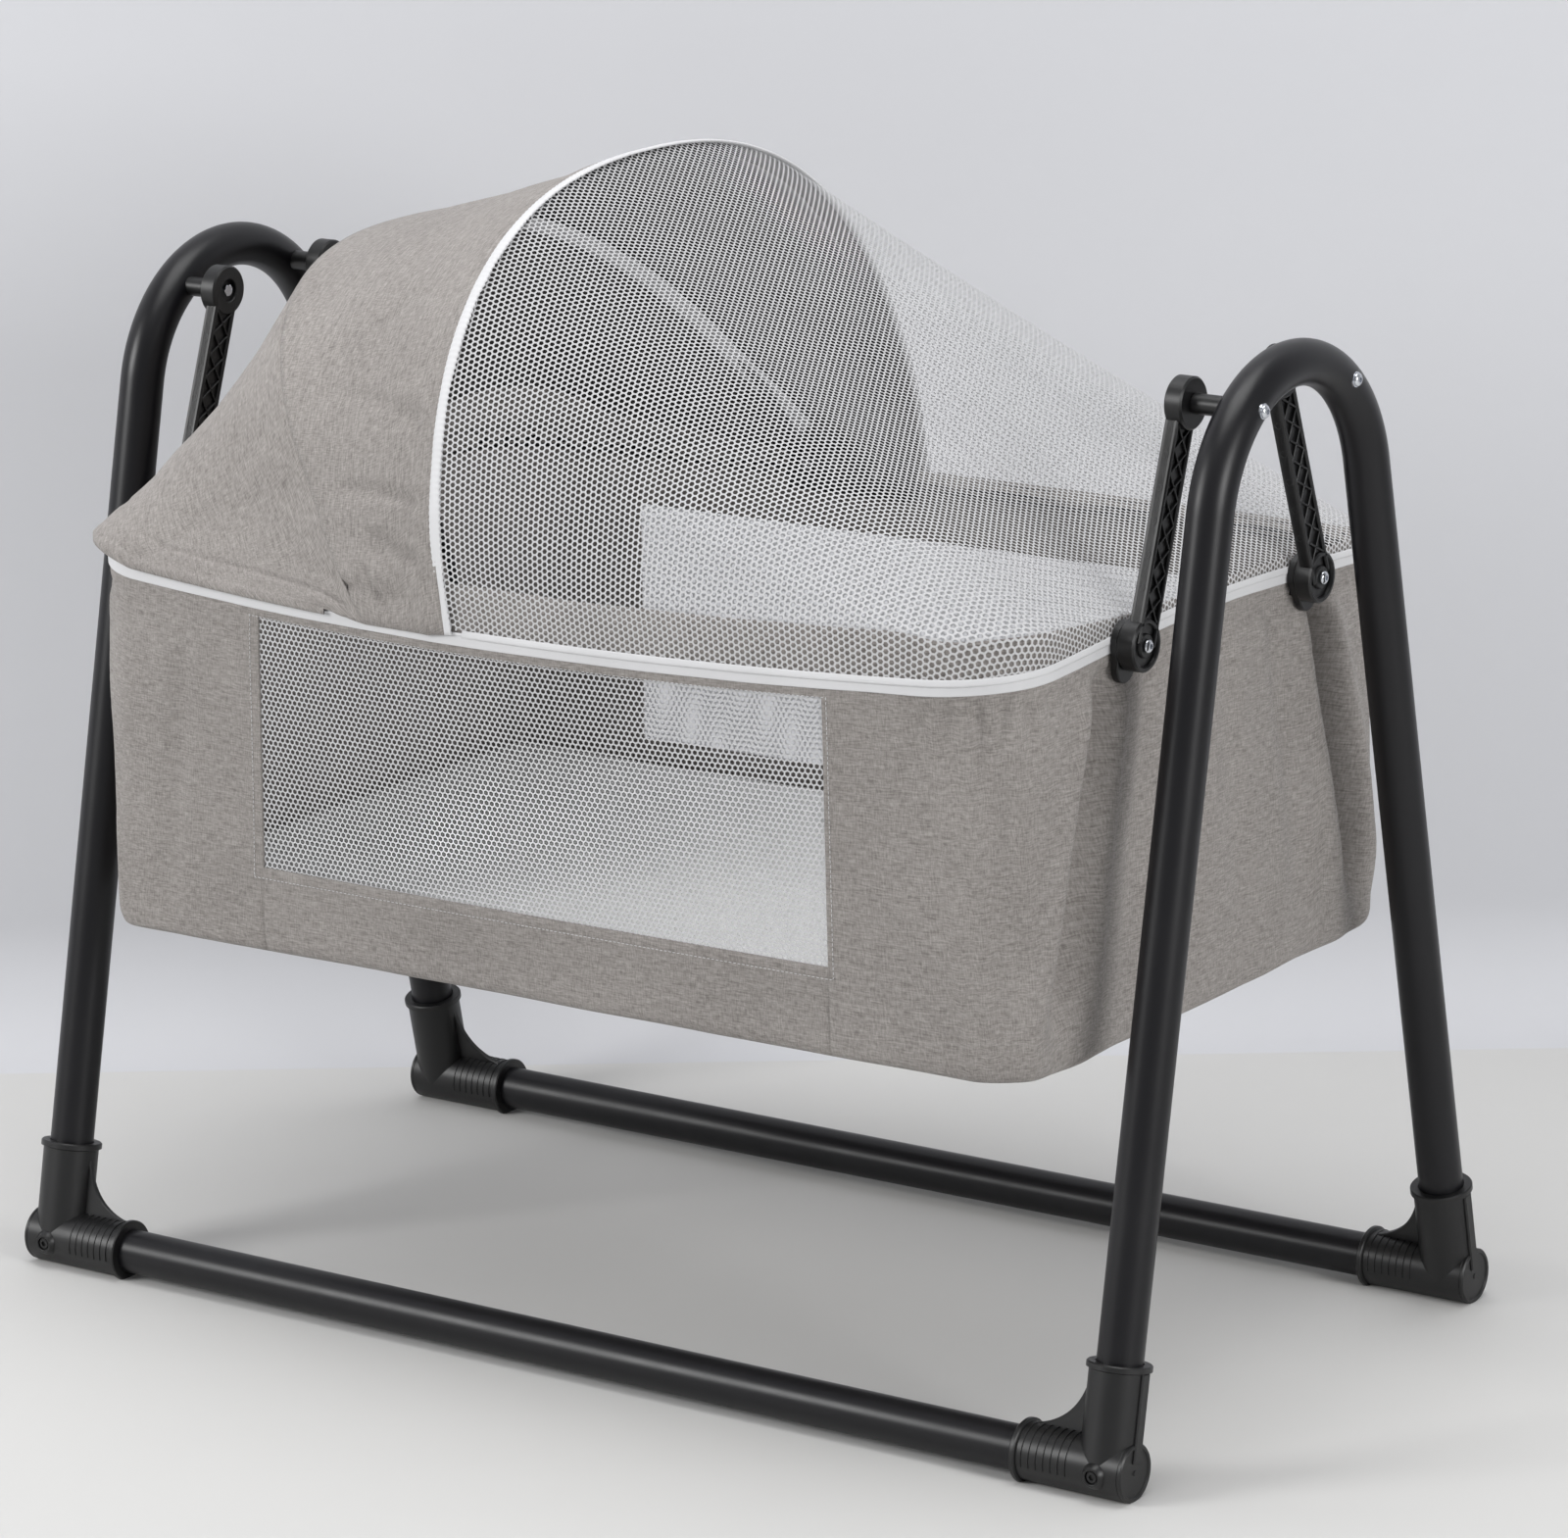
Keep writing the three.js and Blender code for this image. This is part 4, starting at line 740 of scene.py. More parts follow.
        marks = (edge(head, head_slant), edge(foot, foot_slant))

        def places(first, last):
            stops = [first, last]
            for mark in marks:
                stops += [mark - 1.4 * mm, mark, mark + 1.4 * mm]
            stops.sort()
            line = [np.linspace(a, b, n + 1)[:-1] for a, b, n in zip(stops, stops[1:], self.LONG)]
            return np.concatenate([*line, [last]])

        return places

    def rim_line(self):
        """The rim: x, y, the outward normal and the height at each column."""
        ba = self.ba
        ring = self.outline(
            self.half_x, self.half_x, self.half_y, ba.side_bow, ba.head_radius, ba.foot_radius,
            self.column_places("near", False), self.column_places("far", False),
        )
        return np.concatenate([ring, self.rim_z(ring[:, 0], ring[:, 1])[:, None]], 1)

    def bottom_line(self, inset=0.0):
        """The bottom's outline, drawn in by an inset."""
        ba = self.ba
        return self.outline(
            ba.bottom_head - inset, ba.bottom_foot - inset, ba.bottom_width / 2 - inset, 0,
            max(ba.bottom_head_radius - inset, 6 * mm), max(ba.bottom_foot_radius - inset, 6 * mm),
            self.column_places("near", True), self.column_places("far", True),
        )

    def bow(self, which):
        """A bow of the hood: pivot, its up and footward directions, height, half-width, power."""
        ho = self.ho
        front = which == "front"
        tilt = ho.front_tilt if front else ho.rear_tilt
        return {
            "pivot": np.array([ho.front_x if front else ho.rear_x, 0, self.bow_z]),
            "up": np.array([math.cos(tilt), 0, math.sin(tilt)]),
            "footward": np.array([math.sin(tilt), 0, -math.cos(tilt)]),
            "height": ho.front_height if front else ho.rear_height,
            "half": ho.front_half if front else ho.rear_half,
            "power": 2 / (2.37 if front else 2.42),
        }

    def bow_points(self, bow, share, foot, lift, offset):
        """Points on a bow's arch, share 0 at the near foot and 1 at the far one."""
        share, foot, lift, offset = np.broadcast_arrays(
            *(np.asarray(v, float) for v in (share, foot, lift, offset))
        )
        side = np.where(share <= 0.5, -1.0, 1.0)
        along = 1 - np.abs(1 - 2 * share)
        base = -self.bow_drop / bow["up"][2]
        full = bow["height"] + offset - base
        start = np.arcsin(((lift - base) / full) ** (1 / bow["power"]))
        angle = start + (math.pi / 2 - start) * along
        rise = base + full * np.sin(angle) ** bow["power"]
        wide = (bow["half"] + offset) * np.maximum(np.cos(angle), 0) ** bow["power"]
        t = np.clip((rise - lift) / (130 * mm - lift), 0, 1)
        y = foot + (wide - foot) * t * t * (3 - 2 * t)
        y = np.where(along < 1 - 1e-9, y, 0)
        point = bow["pivot"] + rise[..., None] * bow["up"]
        point[..., 1] = side * y
        return point

    def hood_section(self, which, share, forward, offset, hem_rise=0.001):
        """Section of the hood over a bow, down to the rim band on both sides."""
        bow = self.bow(which)
        lift = (self.ba.rim_height + hem_rise - self.bow_z) / bow["up"][2]
        rim = self.rim_half(bow["pivot"][0] + forward)
        foot = rim + self.skirt_out - self.over + np.minimum(offset, self.over)
        return self.bow_points(bow, share, foot, lift, offset) + forward * bow["footward"]

    def hem_line(self, start_x, end, count):
        """Rim places from an x on the near side round one end, each with its share of a bow."""
        ring = self.rim_line()
        half = ring[: len(ring) // 2 + 1]
        part = half[half[:, 0] < start_x][::-1] if end < 0 else half[half[:, 0] > start_x]
        slope = math.atan(2 * self.ba.side_bow * start_x / self.half_x**2)
        first = [start_x, -self.rim_half(start_x), math.sin(slope), -math.cos(slope),
                 float(self.rim_z(start_x, self.half_y))]
        part = np.concatenate([[first], part])
        run = np.concatenate([[0], np.cumsum(np.hypot(*np.diff(part[:, :2], axis=0).T))])
        turn = np.arctan2(np.abs(part[:, 2]), np.abs(part[:, 3])) / math.pi
        share = (turn + run / run[-1] / 2) / 2
        far = part[-2::-1] * (1, -1, 1, -1, 1)
        line = np.concatenate([part, far])
        shares = np.concatenate([share, 1 - share[-2::-1]])
        even = np.linspace(0, 1, count + 1)
        place = np.stack([np.interp(even, shares, line[:, k]) for k in range(5)], -1)
        place[:, 2:4] /= np.linalg.norm(place[:, 2:4], axis=1, keepdims=True)
        return even, place


class Shader(Nodes):
    """Builds a material's or a shader group's node tree."""

    def stretched(self, vector, scale):
        return self.math("MULTIPLY", vector, scale, "ShaderNodeVectorMath")

    def noise(self, vector, scale, detail=2.0, rough=0.5):
        inputs = {"Vector": vector, "Scale": scale, "Detail": detail, "Roughness": rough}
        return self.out("ShaderNodeTexNoise", inputs)

    def ramp(self, value, low, high, to_low=0.0, to_high=1.0):
        inputs = {"Value": value, 1: low, 2: high, 3: to_low, 4: to_high}
        return self.out("ShaderNodeMapRange", inputs)

    def bump(self, height, distance, strength):
        inputs = {"Height": height, "Distance": distance, "Strength": strength}
        return self.out("ShaderNodeBump", inputs)

    def mix(self, share, one, other):
        return self.out("ShaderNodeMixShader", {0: share, 1: one, 2: other})

    def shared(self, name, build, inputs):
        """Outputs of a group of nodes that several materials share."""
        return self.add("ShaderNodeGroup", inputs, node_tree=group_named(name, build)).outputs


def shader_group(name, inputs, outputs):
    group = bpy.data.node_groups.new(name, "ShaderNodeTree")
    for label, kind, default in inputs:
        item = group.interface.new_socket(label, in_out="INPUT", socket_type="NodeSocket" + kind)
        if default is not None:
            item.default_value = default
    for label, kind in outputs:
        group.interface.new_socket(label, in_out="OUTPUT", socket_type="NodeSocket" + kind)
    return group, Shader(group), group.nodes.new("NodeGroupInput"), group.nodes.new("NodeGroupOutput")


def linen_group(name):
    """Woven melange cloth: a mix of light and dark thread, and the height of the weave."""
    inputs = [("Vector", "Vector", None), ("Threads per metre", "Float", 1500.0)]
    group, shade, source, sink = shader_group(name, inputs, [("Mix", "Float"), ("Height", "Float")])
    place = source.outputs["Vector"]
    warp = shade.noise(shade.stretched(place, (820.0, 130.0, 1.0)), 1.0, 3.0, 0.65)
    weft = shade.noise(shade.stretched(place, (120.0, 760.0, 1.0)), 1.0, 3.0, 0.65)
    slub = shade.noise(shade.stretched(place, (48.0, 330.0, 1.0)), 1.0, 2.0, 0.5)
    cloud = shade.noise(place, 9.0, 2.0, 0.5)
    threads = shade.math("ADD", shade.math("MULTIPLY", warp, 0.48), shade.math("MULTIPLY", weft, 0.52))
    mixed = shade.math("ADD", threads, shade.math("MULTIPLY", slub, 0.22))
    mixed = shade.math("ADD", mixed, shade.math("MULTIPLY", cloud, 0.10))
    group.links.new(shade.ramp(mixed, 0.52, 0.80), sink.inputs["Mix"])
    split = shade.add("ShaderNodeSeparateXYZ", {0: place})
    turns = shade.math("MULTIPLY", source.outputs["Threads per metre"], 6.2832)
    over = shade.math("SINE", shade.math("MULTIPLY", split.outputs[0], turns))
    under = shade.math("SINE", shade.math("MULTIPLY", split.outputs[1], turns))
    weave = shade.math("MULTIPLY", shade.math("MULTIPLY", over, under), 0.3)
    group.links.new(shade.math("ADD", weave, mixed), sink.inputs["Height"])
    return group


def grain_group(name):
    """Fine uneven surface, as on moulded plastic or powder coat."""
    inputs = [("Vector", "Vector", None), ("Scale", "Float", 900.0)]
    group, shade, source, sink = shader_group(name, inputs, [("Height", "Float"), ("Cloud", "Float")])
    fine = shade.noise(source.outputs["Vector"], source.outputs["Scale"], 2.0, 0.5)
    cloud = shade.noise(source.outputs["Vector"], 14.0, 3.0, 0.55)
    group.links.new(fine, sink.inputs["Height"])
    group.links.new(cloud, sink.inputs["Cloud"])
    return group


def new_material(name):
    material = bpy.data.materials.new(name)
    material.use_nodes = True
    material.node_tree.nodes.clear()
    return material, Shader(material.node_tree)


def grained_material(name, tint, roughness, scale, bump, one_sided=False, **finish):
    """Powder coat, plastic or zinc: a plain colour with a fine uneven surface."""
    material, shade = new_material(name)
    place = shade.add("ShaderNodeTexCoord").outputs["Object"]
    grain = shade.shared("Fine grain", grain_group, {"Vector": place, "Scale": scale})
    surface = {
        "Base Color": (*tint, 1),
        "Roughness": shade.ramp(grain["Cloud"], 0.3, 0.7, roughness - 0.03, roughness + 0.04),
        "Coat Roughness": 0.25,
        "Normal": shade.bump(grain["Height"], 0.0002, bump),
    }
    names = {"metallic": "Metallic", "specular": "Specular IOR Level"}
    surface.update({names[key]: value for key, value in finish.items()})
    shaded = shade.out("ShaderNodeBsdfPrincipled", surface)
    if one_sided:
        # A view from behind passes through, so that the wall never hides the crib
        behind = shade.add("ShaderNodeNewGeometry").outputs["Backfacing"]
        shaded = shade.mix(behind, shaded, shade.out("ShaderNodeBsdfTransparent"))
    shade.add("ShaderNodeOutputMaterial", {"Surface": shaded})
    return material


def linen_material(name, light, dark):
    """Grey melange cloth on the map "cut" of a piece."""
    material, shade = new_material(name)
    place = shade.out("ShaderNodeUVMap", uv_map="cut")
    linen = shade.shared("Linen weave", linen_group, {"Vector": place})
    threads = {0: linen["Mix"], 6: (*dark, 1), 7: (*light, 1)}
    surface = {
        "Base Color": shade.add("ShaderNodeMix", threads, data_type="RGBA").outputs[2],
        "Roughness": 0.86,
        "Sheen Weight": 0.12,
        "Sheen Roughness": 0.5,
        "Specular IOR Level": 0.25,
        "Normal": shade.bump(linen["Height"], 0.0004, 0.35),
    }
    shaded = shade.out("ShaderNodeBsdfPrincipled", surface)
    shade.add("ShaderNodeOutputMaterial", {"Surface": shaded})
    return material


def knit_material(name, tint, scale, bump, through=0.0, rough=0.75):
    """White knitted tape, net or cover; some light comes through a thin one."""
    material, shade = new_material(name)
    place = shade.add("ShaderNodeTexCoord").outputs["Object"]
    grain = shade.shared("Fine grain", grain_group, {"Vector": place, "Scale": scale})
    tone = shade.ramp(grain["Cloud"], 0.3, 0.7, 0.94, 1.0)
    plain = shade.out("ShaderNodeRGB")
    plain.default_value = (*tint, 1)
    surface = {
        "Base Color": shade.out("ShaderNodeVectorMath", {0: plain, "Scale": tone}, operation="SCALE"),
        "Roughness": rough,
        "Specular IOR Level": 0.3,
        "Sheen Weight": 0.1,
        "Normal": shade.bump(grain["Height"], 0.0003, bump),
    }
    shaded = shade.out("ShaderNodeBsdfPrincipled", surface)
    if through:
        soft = shade.out("ShaderNodeBsdfTranslucent", {"Color": (*tint, 1)})
        shaded = shade.mix(through, shaded, soft)
    shade.add("ShaderNodeOutputMaterial", {"Surface": shaded})
    return material


def material_for(key):
    """A material by its key, which is a slot's name or a further look, made once."""
    name = "crib_" + key
    found = bpy.data.materials.get(name)
    if found:
        return found
    tint = bpy.context.scene.crib_colours
    makers = {
        "powder_coated_steel": lambda: grained_material(
            name, tint.powder, 0.35, 1400.0, 0.25, specular=0.34
        ),
        "black_plastic": lambda: grained_material(name, tint.plastic, 0.40, 2200.0, 0.2),
        "recessed_plastic": lambda: grained_material(name, tint.plastic, 0.62, 2200.0, 0.2),
        "zinc_steel": lambda: grained_material(name, tint.zinc, 0.22, 1500.0, 0.08, metallic=1.0),
        "grey_fabric": lambda: linen_material(name, tint.cloth_light, tint.cloth_dark),
        # Painted shade: the hood's inside gets a near-black cloth colour where there is only shade
        "painted_inside_shade": lambda: grained_material(name, tint.painted_inside_shade, 0.9, 900.0, 0.2, specular=0.2),
        "white_tape": lambda: knit_material(name, tint.tape, 1500.0, 0.35, rough=0.55),
        "white_net": lambda: knit_material(name, tint.net, 2600.0, 0.3, through=0.36),
        "white_cover": lambda: knit_material(name, tint.white, 800.0, 0.25),
        "board": lambda: grained_material(name, tint.board, 0.8, 300.0, 0.5),
        "studio_floor": lambda: grained_material(name, tint.floor, 0.7, 40.0, 0.0),
        "studio_wall": lambda: grained_material(name, tint.wall, 0.9, 40.0, 0.0, one_sided=True),
    }
    return makers[key]()


class CribPiece:
    """What the operators of the crib share."""

    bl_options = {"REGISTER", "UNDO"}

    def execute(self, context):
        self.make(Shape(context.scene))
        return {"FINISHED"}


class CribStage(bpy.types.Operator, CribPiece):
    """Sets the camera, the lamps and the studio floor"""

    bl_idname = "crib.stage"
    bl_label = "Stage"

    # Camera: width and height of the photo, focal length and optical centre in its pixels
    PHOTO = (1600, 1569)
    FOCAL = 6724.23
    CENTRE = (799, 783)
    # Its place, and its yaw, pitch and roll in degrees
    CAMERA = (3.115196, -4.442228, 1.882573)
    TURN = (34.642, 14.711, -0.94)

    # Floor: distance from the crib to its bend, the bend's radius, reach, half width, wall height
    BEND, RADIUS, REACH, HALF_WIDTH, WALL = 0.62, 0.12, 9.0, 8.0, 6.0

    # Lamps: place, size and power
    LAMPS = {
        "key": ((-2.6, -3.6, 2.3), 1.6, 120),
        "fill": ((4.2, -1.0, 1.8), 1.5, 85),
        "top": ((0.2, -0.2, 4.2), 2.6, 94),
    }
    AIMED_AT = (0, 0, 0.5)

    def make(self, shape):
        scene = bpy.context.scene
        yaw, pitch, roll = (math.radians(v) for v in self.TURN)
        back = Vector(
            (math.sin(yaw) * math.cos(pitch), -math.cos(yaw) * math.cos(pitch), math.sin(pitch))
        )
        right = Vector((0, 0, 1)).cross(back).normalized()
        up = back.cross(right)
        across = right * math.cos(roll) + up * math.sin(roll)
        above = up * math.cos(roll) - right * math.sin(roll)
        data = bpy.data.cameras.new("camera")
        width, height = self.PHOTO
        data.sensor_width = 36
        data.lens = self.FOCAL / width * data.sensor_width
        data.shift_x = (width / 2 - self.CENTRE[0]) / width
        data.shift_y = (self.CENTRE[1] - height / 2) / width
        data.clip_end = 60
        camera = bpy.data.objects.new("camera", data)
        turn = Matrix((across, above, back)).transposed().to_4x4()
        camera.matrix_world = Matrix.Translation(self.CAMERA) @ turn
        scene.collection.objects.link(camera)
        scene.camera = camera
        scene.view_settings.view_transform = "Standard"
        self.floor()
        self.lamps()
        self.world(scene)

    def floor(self):
        """Floor that sweeps up into a wall behind the crib, square to the camera."""
        yaw = math.radians(self.TURN[0])
        view = Vector((-math.sin(yaw), math.cos(yaw), 0))
        across = Vector((view.y, -view.x, 0))
        end = self.BEND + self.RADIUS
        sweep = [
            (self.BEND + self.RADIUS * math.sin(a), self.RADIUS * (1 - math.cos(a)))
            for a in np.linspace(0, math.pi / 2, 17)[1:]
        ]
        for name, line in (
                ("studio_floor", [(-self.REACH, 0.0), (self.REACH, 0.0)]),
                ("studio_wall", [*sweep, (end, self.WALL)])):
            points = [
                tuple(view * away + across * side + Vector((0, 0, z)))
                for away, z in line
                for side in (-self.HALF_WIDTH, self.HALF_WIDTH)
            ]
            floor = mesh_object(name, points, grid_faces(len(line), 2), sharp=None, recalc=False)
            face_outwards(floor, Vector((0, 0, 90)))
            floor.data.flip_normals()
            floor.data.materials.append(material_for(name))

    def lamps(self):
        for name, (place, size, power) in self.LAMPS.items():
            data = bpy.data.lights.new(name, "AREA")
            data.shape, data.size, data.energy = "SQUARE", size, power
            lamp = bpy.data.objects.new(name, data)
            lamp.location = place
            aim = Vector(self.AIMED_AT) - Vector(place)
            lamp.rotation_euler = aim.to_track_quat("-Z", "Y").to_euler()
            bpy.context.scene.collection.objects.link(lamp)

    def world(self, scene):
        world = bpy.data.worlds.new("studio")
        scene.world = world
        world.use_nodes = True
        world.node_tree.nodes.clear()
        shade = Shader(world.node_tree)
        to_camera = shade.add("ShaderNodeLightPath").outputs["Is Camera Ray"]
        seen = shade.out("ShaderNodeBackground", {"Color": (1, 1, 1, 1), "Strength": 1.0})
        lit = shade.out("ShaderNodeBackground", {"Color": (0.96, 0.975, 1.0, 1), "Strength": 0.38})
        out = shade.add("ShaderNodeOutputWorld", {"Surface": shade.mix(to_camera, lit, seen)})
        out.is_active_output = True


class CribFrames(bpy.types.Operator, CribPiece):
    """Bends the tubes of the end frames and lays the floor rails"""

    bl_idname = "crib.frames"
    bl_label = "Frames and rails"

    # Where a leg starts above the rail's axis, and how far a rail stays inside its sleeve's end
    SEAT, SHORT = 28 * mm, 4.4 * mm

    def make(self, shape):
        st = shape.st
        start = shape.leg_foot + shape.leg * self.SEAT
        turn = np.linspace(shape.lean, math.pi - shape.lean, 65)
        arch = np.stack(
            [0 * turn, st.arch_radius * np.cos(turn), st.arch_height + st.arch_radius * np.sin(turn)], -1
        )
        legs = [start + (arch[0] - start) * t for t in np.linspace(0, 1, 9)[:-1]]
        for end in ("head", "foot"):
            path = np.concatenate([legs, arch, (np.array(legs) * (1, -1, 1))[::-1]])
            path[:, 0] = SIGN[end] * shape.frame_x
            obj = tube(f"frame_tube_{end}", path, st.tube_radius, 64)
            finish_piece(obj, "stand", "powder_coated_steel", [f"end_frame_{end}"])
        reach = shape.frame_x + st.sleeve_outboard - self.SHORT
        for side in ("near", "far"):
            y = SIGN[side] * shape.rail_y
            path = [(x, y, st.rail_height) for x in np.linspace(-reach, reach, 9)]
            obj = tube(f"rail_tube_{side}", path, st.tube_radius, 64)
            finish_piece(obj, "stand", "powder_coated_steel", [f"base_rail_{side}"])


class CribFittings(bpy.types.Operator, CribPiece):
    """Builds the four corner fittings with their grip rings and screws"""

    bl_idname = "crib.fittings"
    bl_label = "Corner fittings"

    # How far the flanges, the strap and the screw boss stand off the sleeve
    FLANGE, STRAP, BOSS = 2.6 * mm, 1.9 * mm, 3.4 * mm

    def make(self, shape):
        for end, side in CORNERS:
            sign = (SIGN[end], SIGN[side], 1)
            place = f"{end}_{side}"
            body = self.body(shape).build(f"fitting_{place}", sign)
            for vertex in body.data.vertices:
                vertex.co.z = max(vertex.co.z, 0.0)
                vertex.co.x = min(max(vertex.co.x, CAD_LOW[0]), CAD_HIGH[0])
            finish_piece(body, "stand", "black_plastic", [f"corner_fitting_{place}"])
            rings = self.rings(shape, place, sign)
            finish_piece(rings, "stand", "black_plastic")
            screw = self.screw(shape).build(f"fitting_screw_{place}", sign)
            nodes = [f"corner_screw_{place}"]
            finish_piece(screw, "stand", "powder_coated_steel", nodes, "recessed_plastic")

    def body(self, shape):
        st = shape.st
        r = st.sleeve_radius
        solid = Solid()
        foot = shape.leg_foot
        inb, outb = -st.sleeve_inboard, st.sleeve_outboard
        flange = r + self.FLANGE
        solid.lathe(
            foot, (1, 0, 0),
            [(inb, r - 5 * mm), (inb, flange - 1 * mm), (inb + 1 * mm, flange), (inb + 4 * mm, flange),
             (inb + 5 * mm, flange - 1 * mm), (inb + 5.4 * mm, r), (outb - 4 * mm, r),
             (outb - 3.6 * mm, r - 0.5 * mm), (outb - 3.2 * mm, r), (outb - 1.2 * mm, r),
             (outb, r - 1.2 * mm), (outb, r - 3.5 * mm), (outb - 1 * mm, r - 4.2 * mm),
             (outb - 1 * mm, 2.4 * mm), (outb - 0.2 * mm, 2 * mm), (outb - 0.2 * mm, 0.4 * mm)], 72)
        top = st.socket_height
        solid.lathe(
            foot, shape.leg,
            [(0, r), (top - 6 * mm, r + 0.2 * mm), (top - 5 * mm, flange), (top - 1 * mm, flange),
             (top, flange - 1 * mm), (top, st.tube_radius + 0.6 * mm), (top - 9 * mm, st.tube_radius)], 72)
        web = [(0, 0), (st.gusset_length, 0), (st.gusset_length, r * 0.96)]
        for t in np.linspace(0.05, 1, 18):
            a, b = (1 - t) ** 2, t**2
            mid = 2 * t * (1 - t) * (r + 6 * mm)
            across, up = a * st.gusset_length + mid + b * r * 0.98, a * r * 0.96 + mid
            web.append((across, up + b * st.gusset_height))
        web.append((0, st.gusset_height))
        solid.prism(web, foot, (-1, 0, 0), shape.leg, 5 * mm, 0.7 * mm)
        half, low, high = 5.5 * mm, 8 * mm, top - 5 * mm
        strap = [(-half, low), (half, low), (half, high), (-half, high)]
        reach = r + self.STRAP
        solid.prism(strap, foot + (reach / 2, 0, 0), shape.leg_normal, shape.leg, reach, 1.1 * mm)
        face = r + self.BOSS
        solid.lathe(
            foot, (0, 1, 0),
            [(r - 8 * mm, 11.5 * mm), (r - 1 * mm, 10.8 * mm), (face - 0.8 * mm, 8.5 * mm),
             (face, 7.8 * mm), (face, 6.4 * mm), (face - 0.5 * mm, 5.8 * mm),
             (face - 2.6 * mm, 5.6 * mm)], 48)
        return solid

    def rings(self, shape, place, sign):
        """Half rings over the sleeve, between its collar and the boss."""
        st = shape.st
        arc = np.linspace(math.radians(-12), math.radians(192), 40)
        section = ((-1.1, -0.6), (1.1, -0.6), (0.55, 0.75), (-0.55, 0.75))
        rows = []
        for turn in arc:
            radial = np.array([0, math.cos(turn), math.sin(turn)])
            rows.append([
                shape.leg_foot + radial * (st.sleeve_radius + up * mm) + (along * mm, 0, 0)
                for along, up in section
            ])
        obj = Solid().loft(rows).build(f"grip_rings_{place}", sign)
        start = np.array([-(st.sleeve_inboard - 10 * mm), 0, 0]) * sign
        step = np.array([(st.sleeve_inboard - 30 * mm) / st.grip_rings, 0, 0]) * sign
        return repeat(obj, st.grip_rings, start, step)

    def screw(self, shape):
        face = shape.st.sleeve_radius + self.BOSS - 0.9 * mm
        profile = [(face - 6 * mm, 4 * mm), (face - 2 * mm, 4.7 * mm), (face - 0.5 * mm, 4.7 * mm),
                   (face, 4.2 * mm), (face, 2.5 * mm), (face - 1.8 * mm, 2.3 * mm)]
        return Solid().lathe(shape.leg_foot, (0, 1, 0), profile, 36, flats={4, 5})


def button_head(solid, origin):
    """Domed head of a socket screw along X, its flat side at the origin."""
    radius, height, key = 5.6 * mm, 3.4 * mm, 2.3 * mm
    steps = np.linspace(0, math.radians(58), 7)
    dome = [
        (height * (0.22 + 0.78 * math.sin(a) / math.sin(steps[-1])), radius * math.cos(a * 0.98))
        for a in steps
    ]
    profile = [(0, radius * 0.97), *dome, (dome[-1][0], key), (dome[-1][0] - 1.9 * mm, key * 0.94)]
    count = len(profile)
    return solid.lathe(origin, (1, 0, 0), profile, 48, flats={count - 1, count - 2})


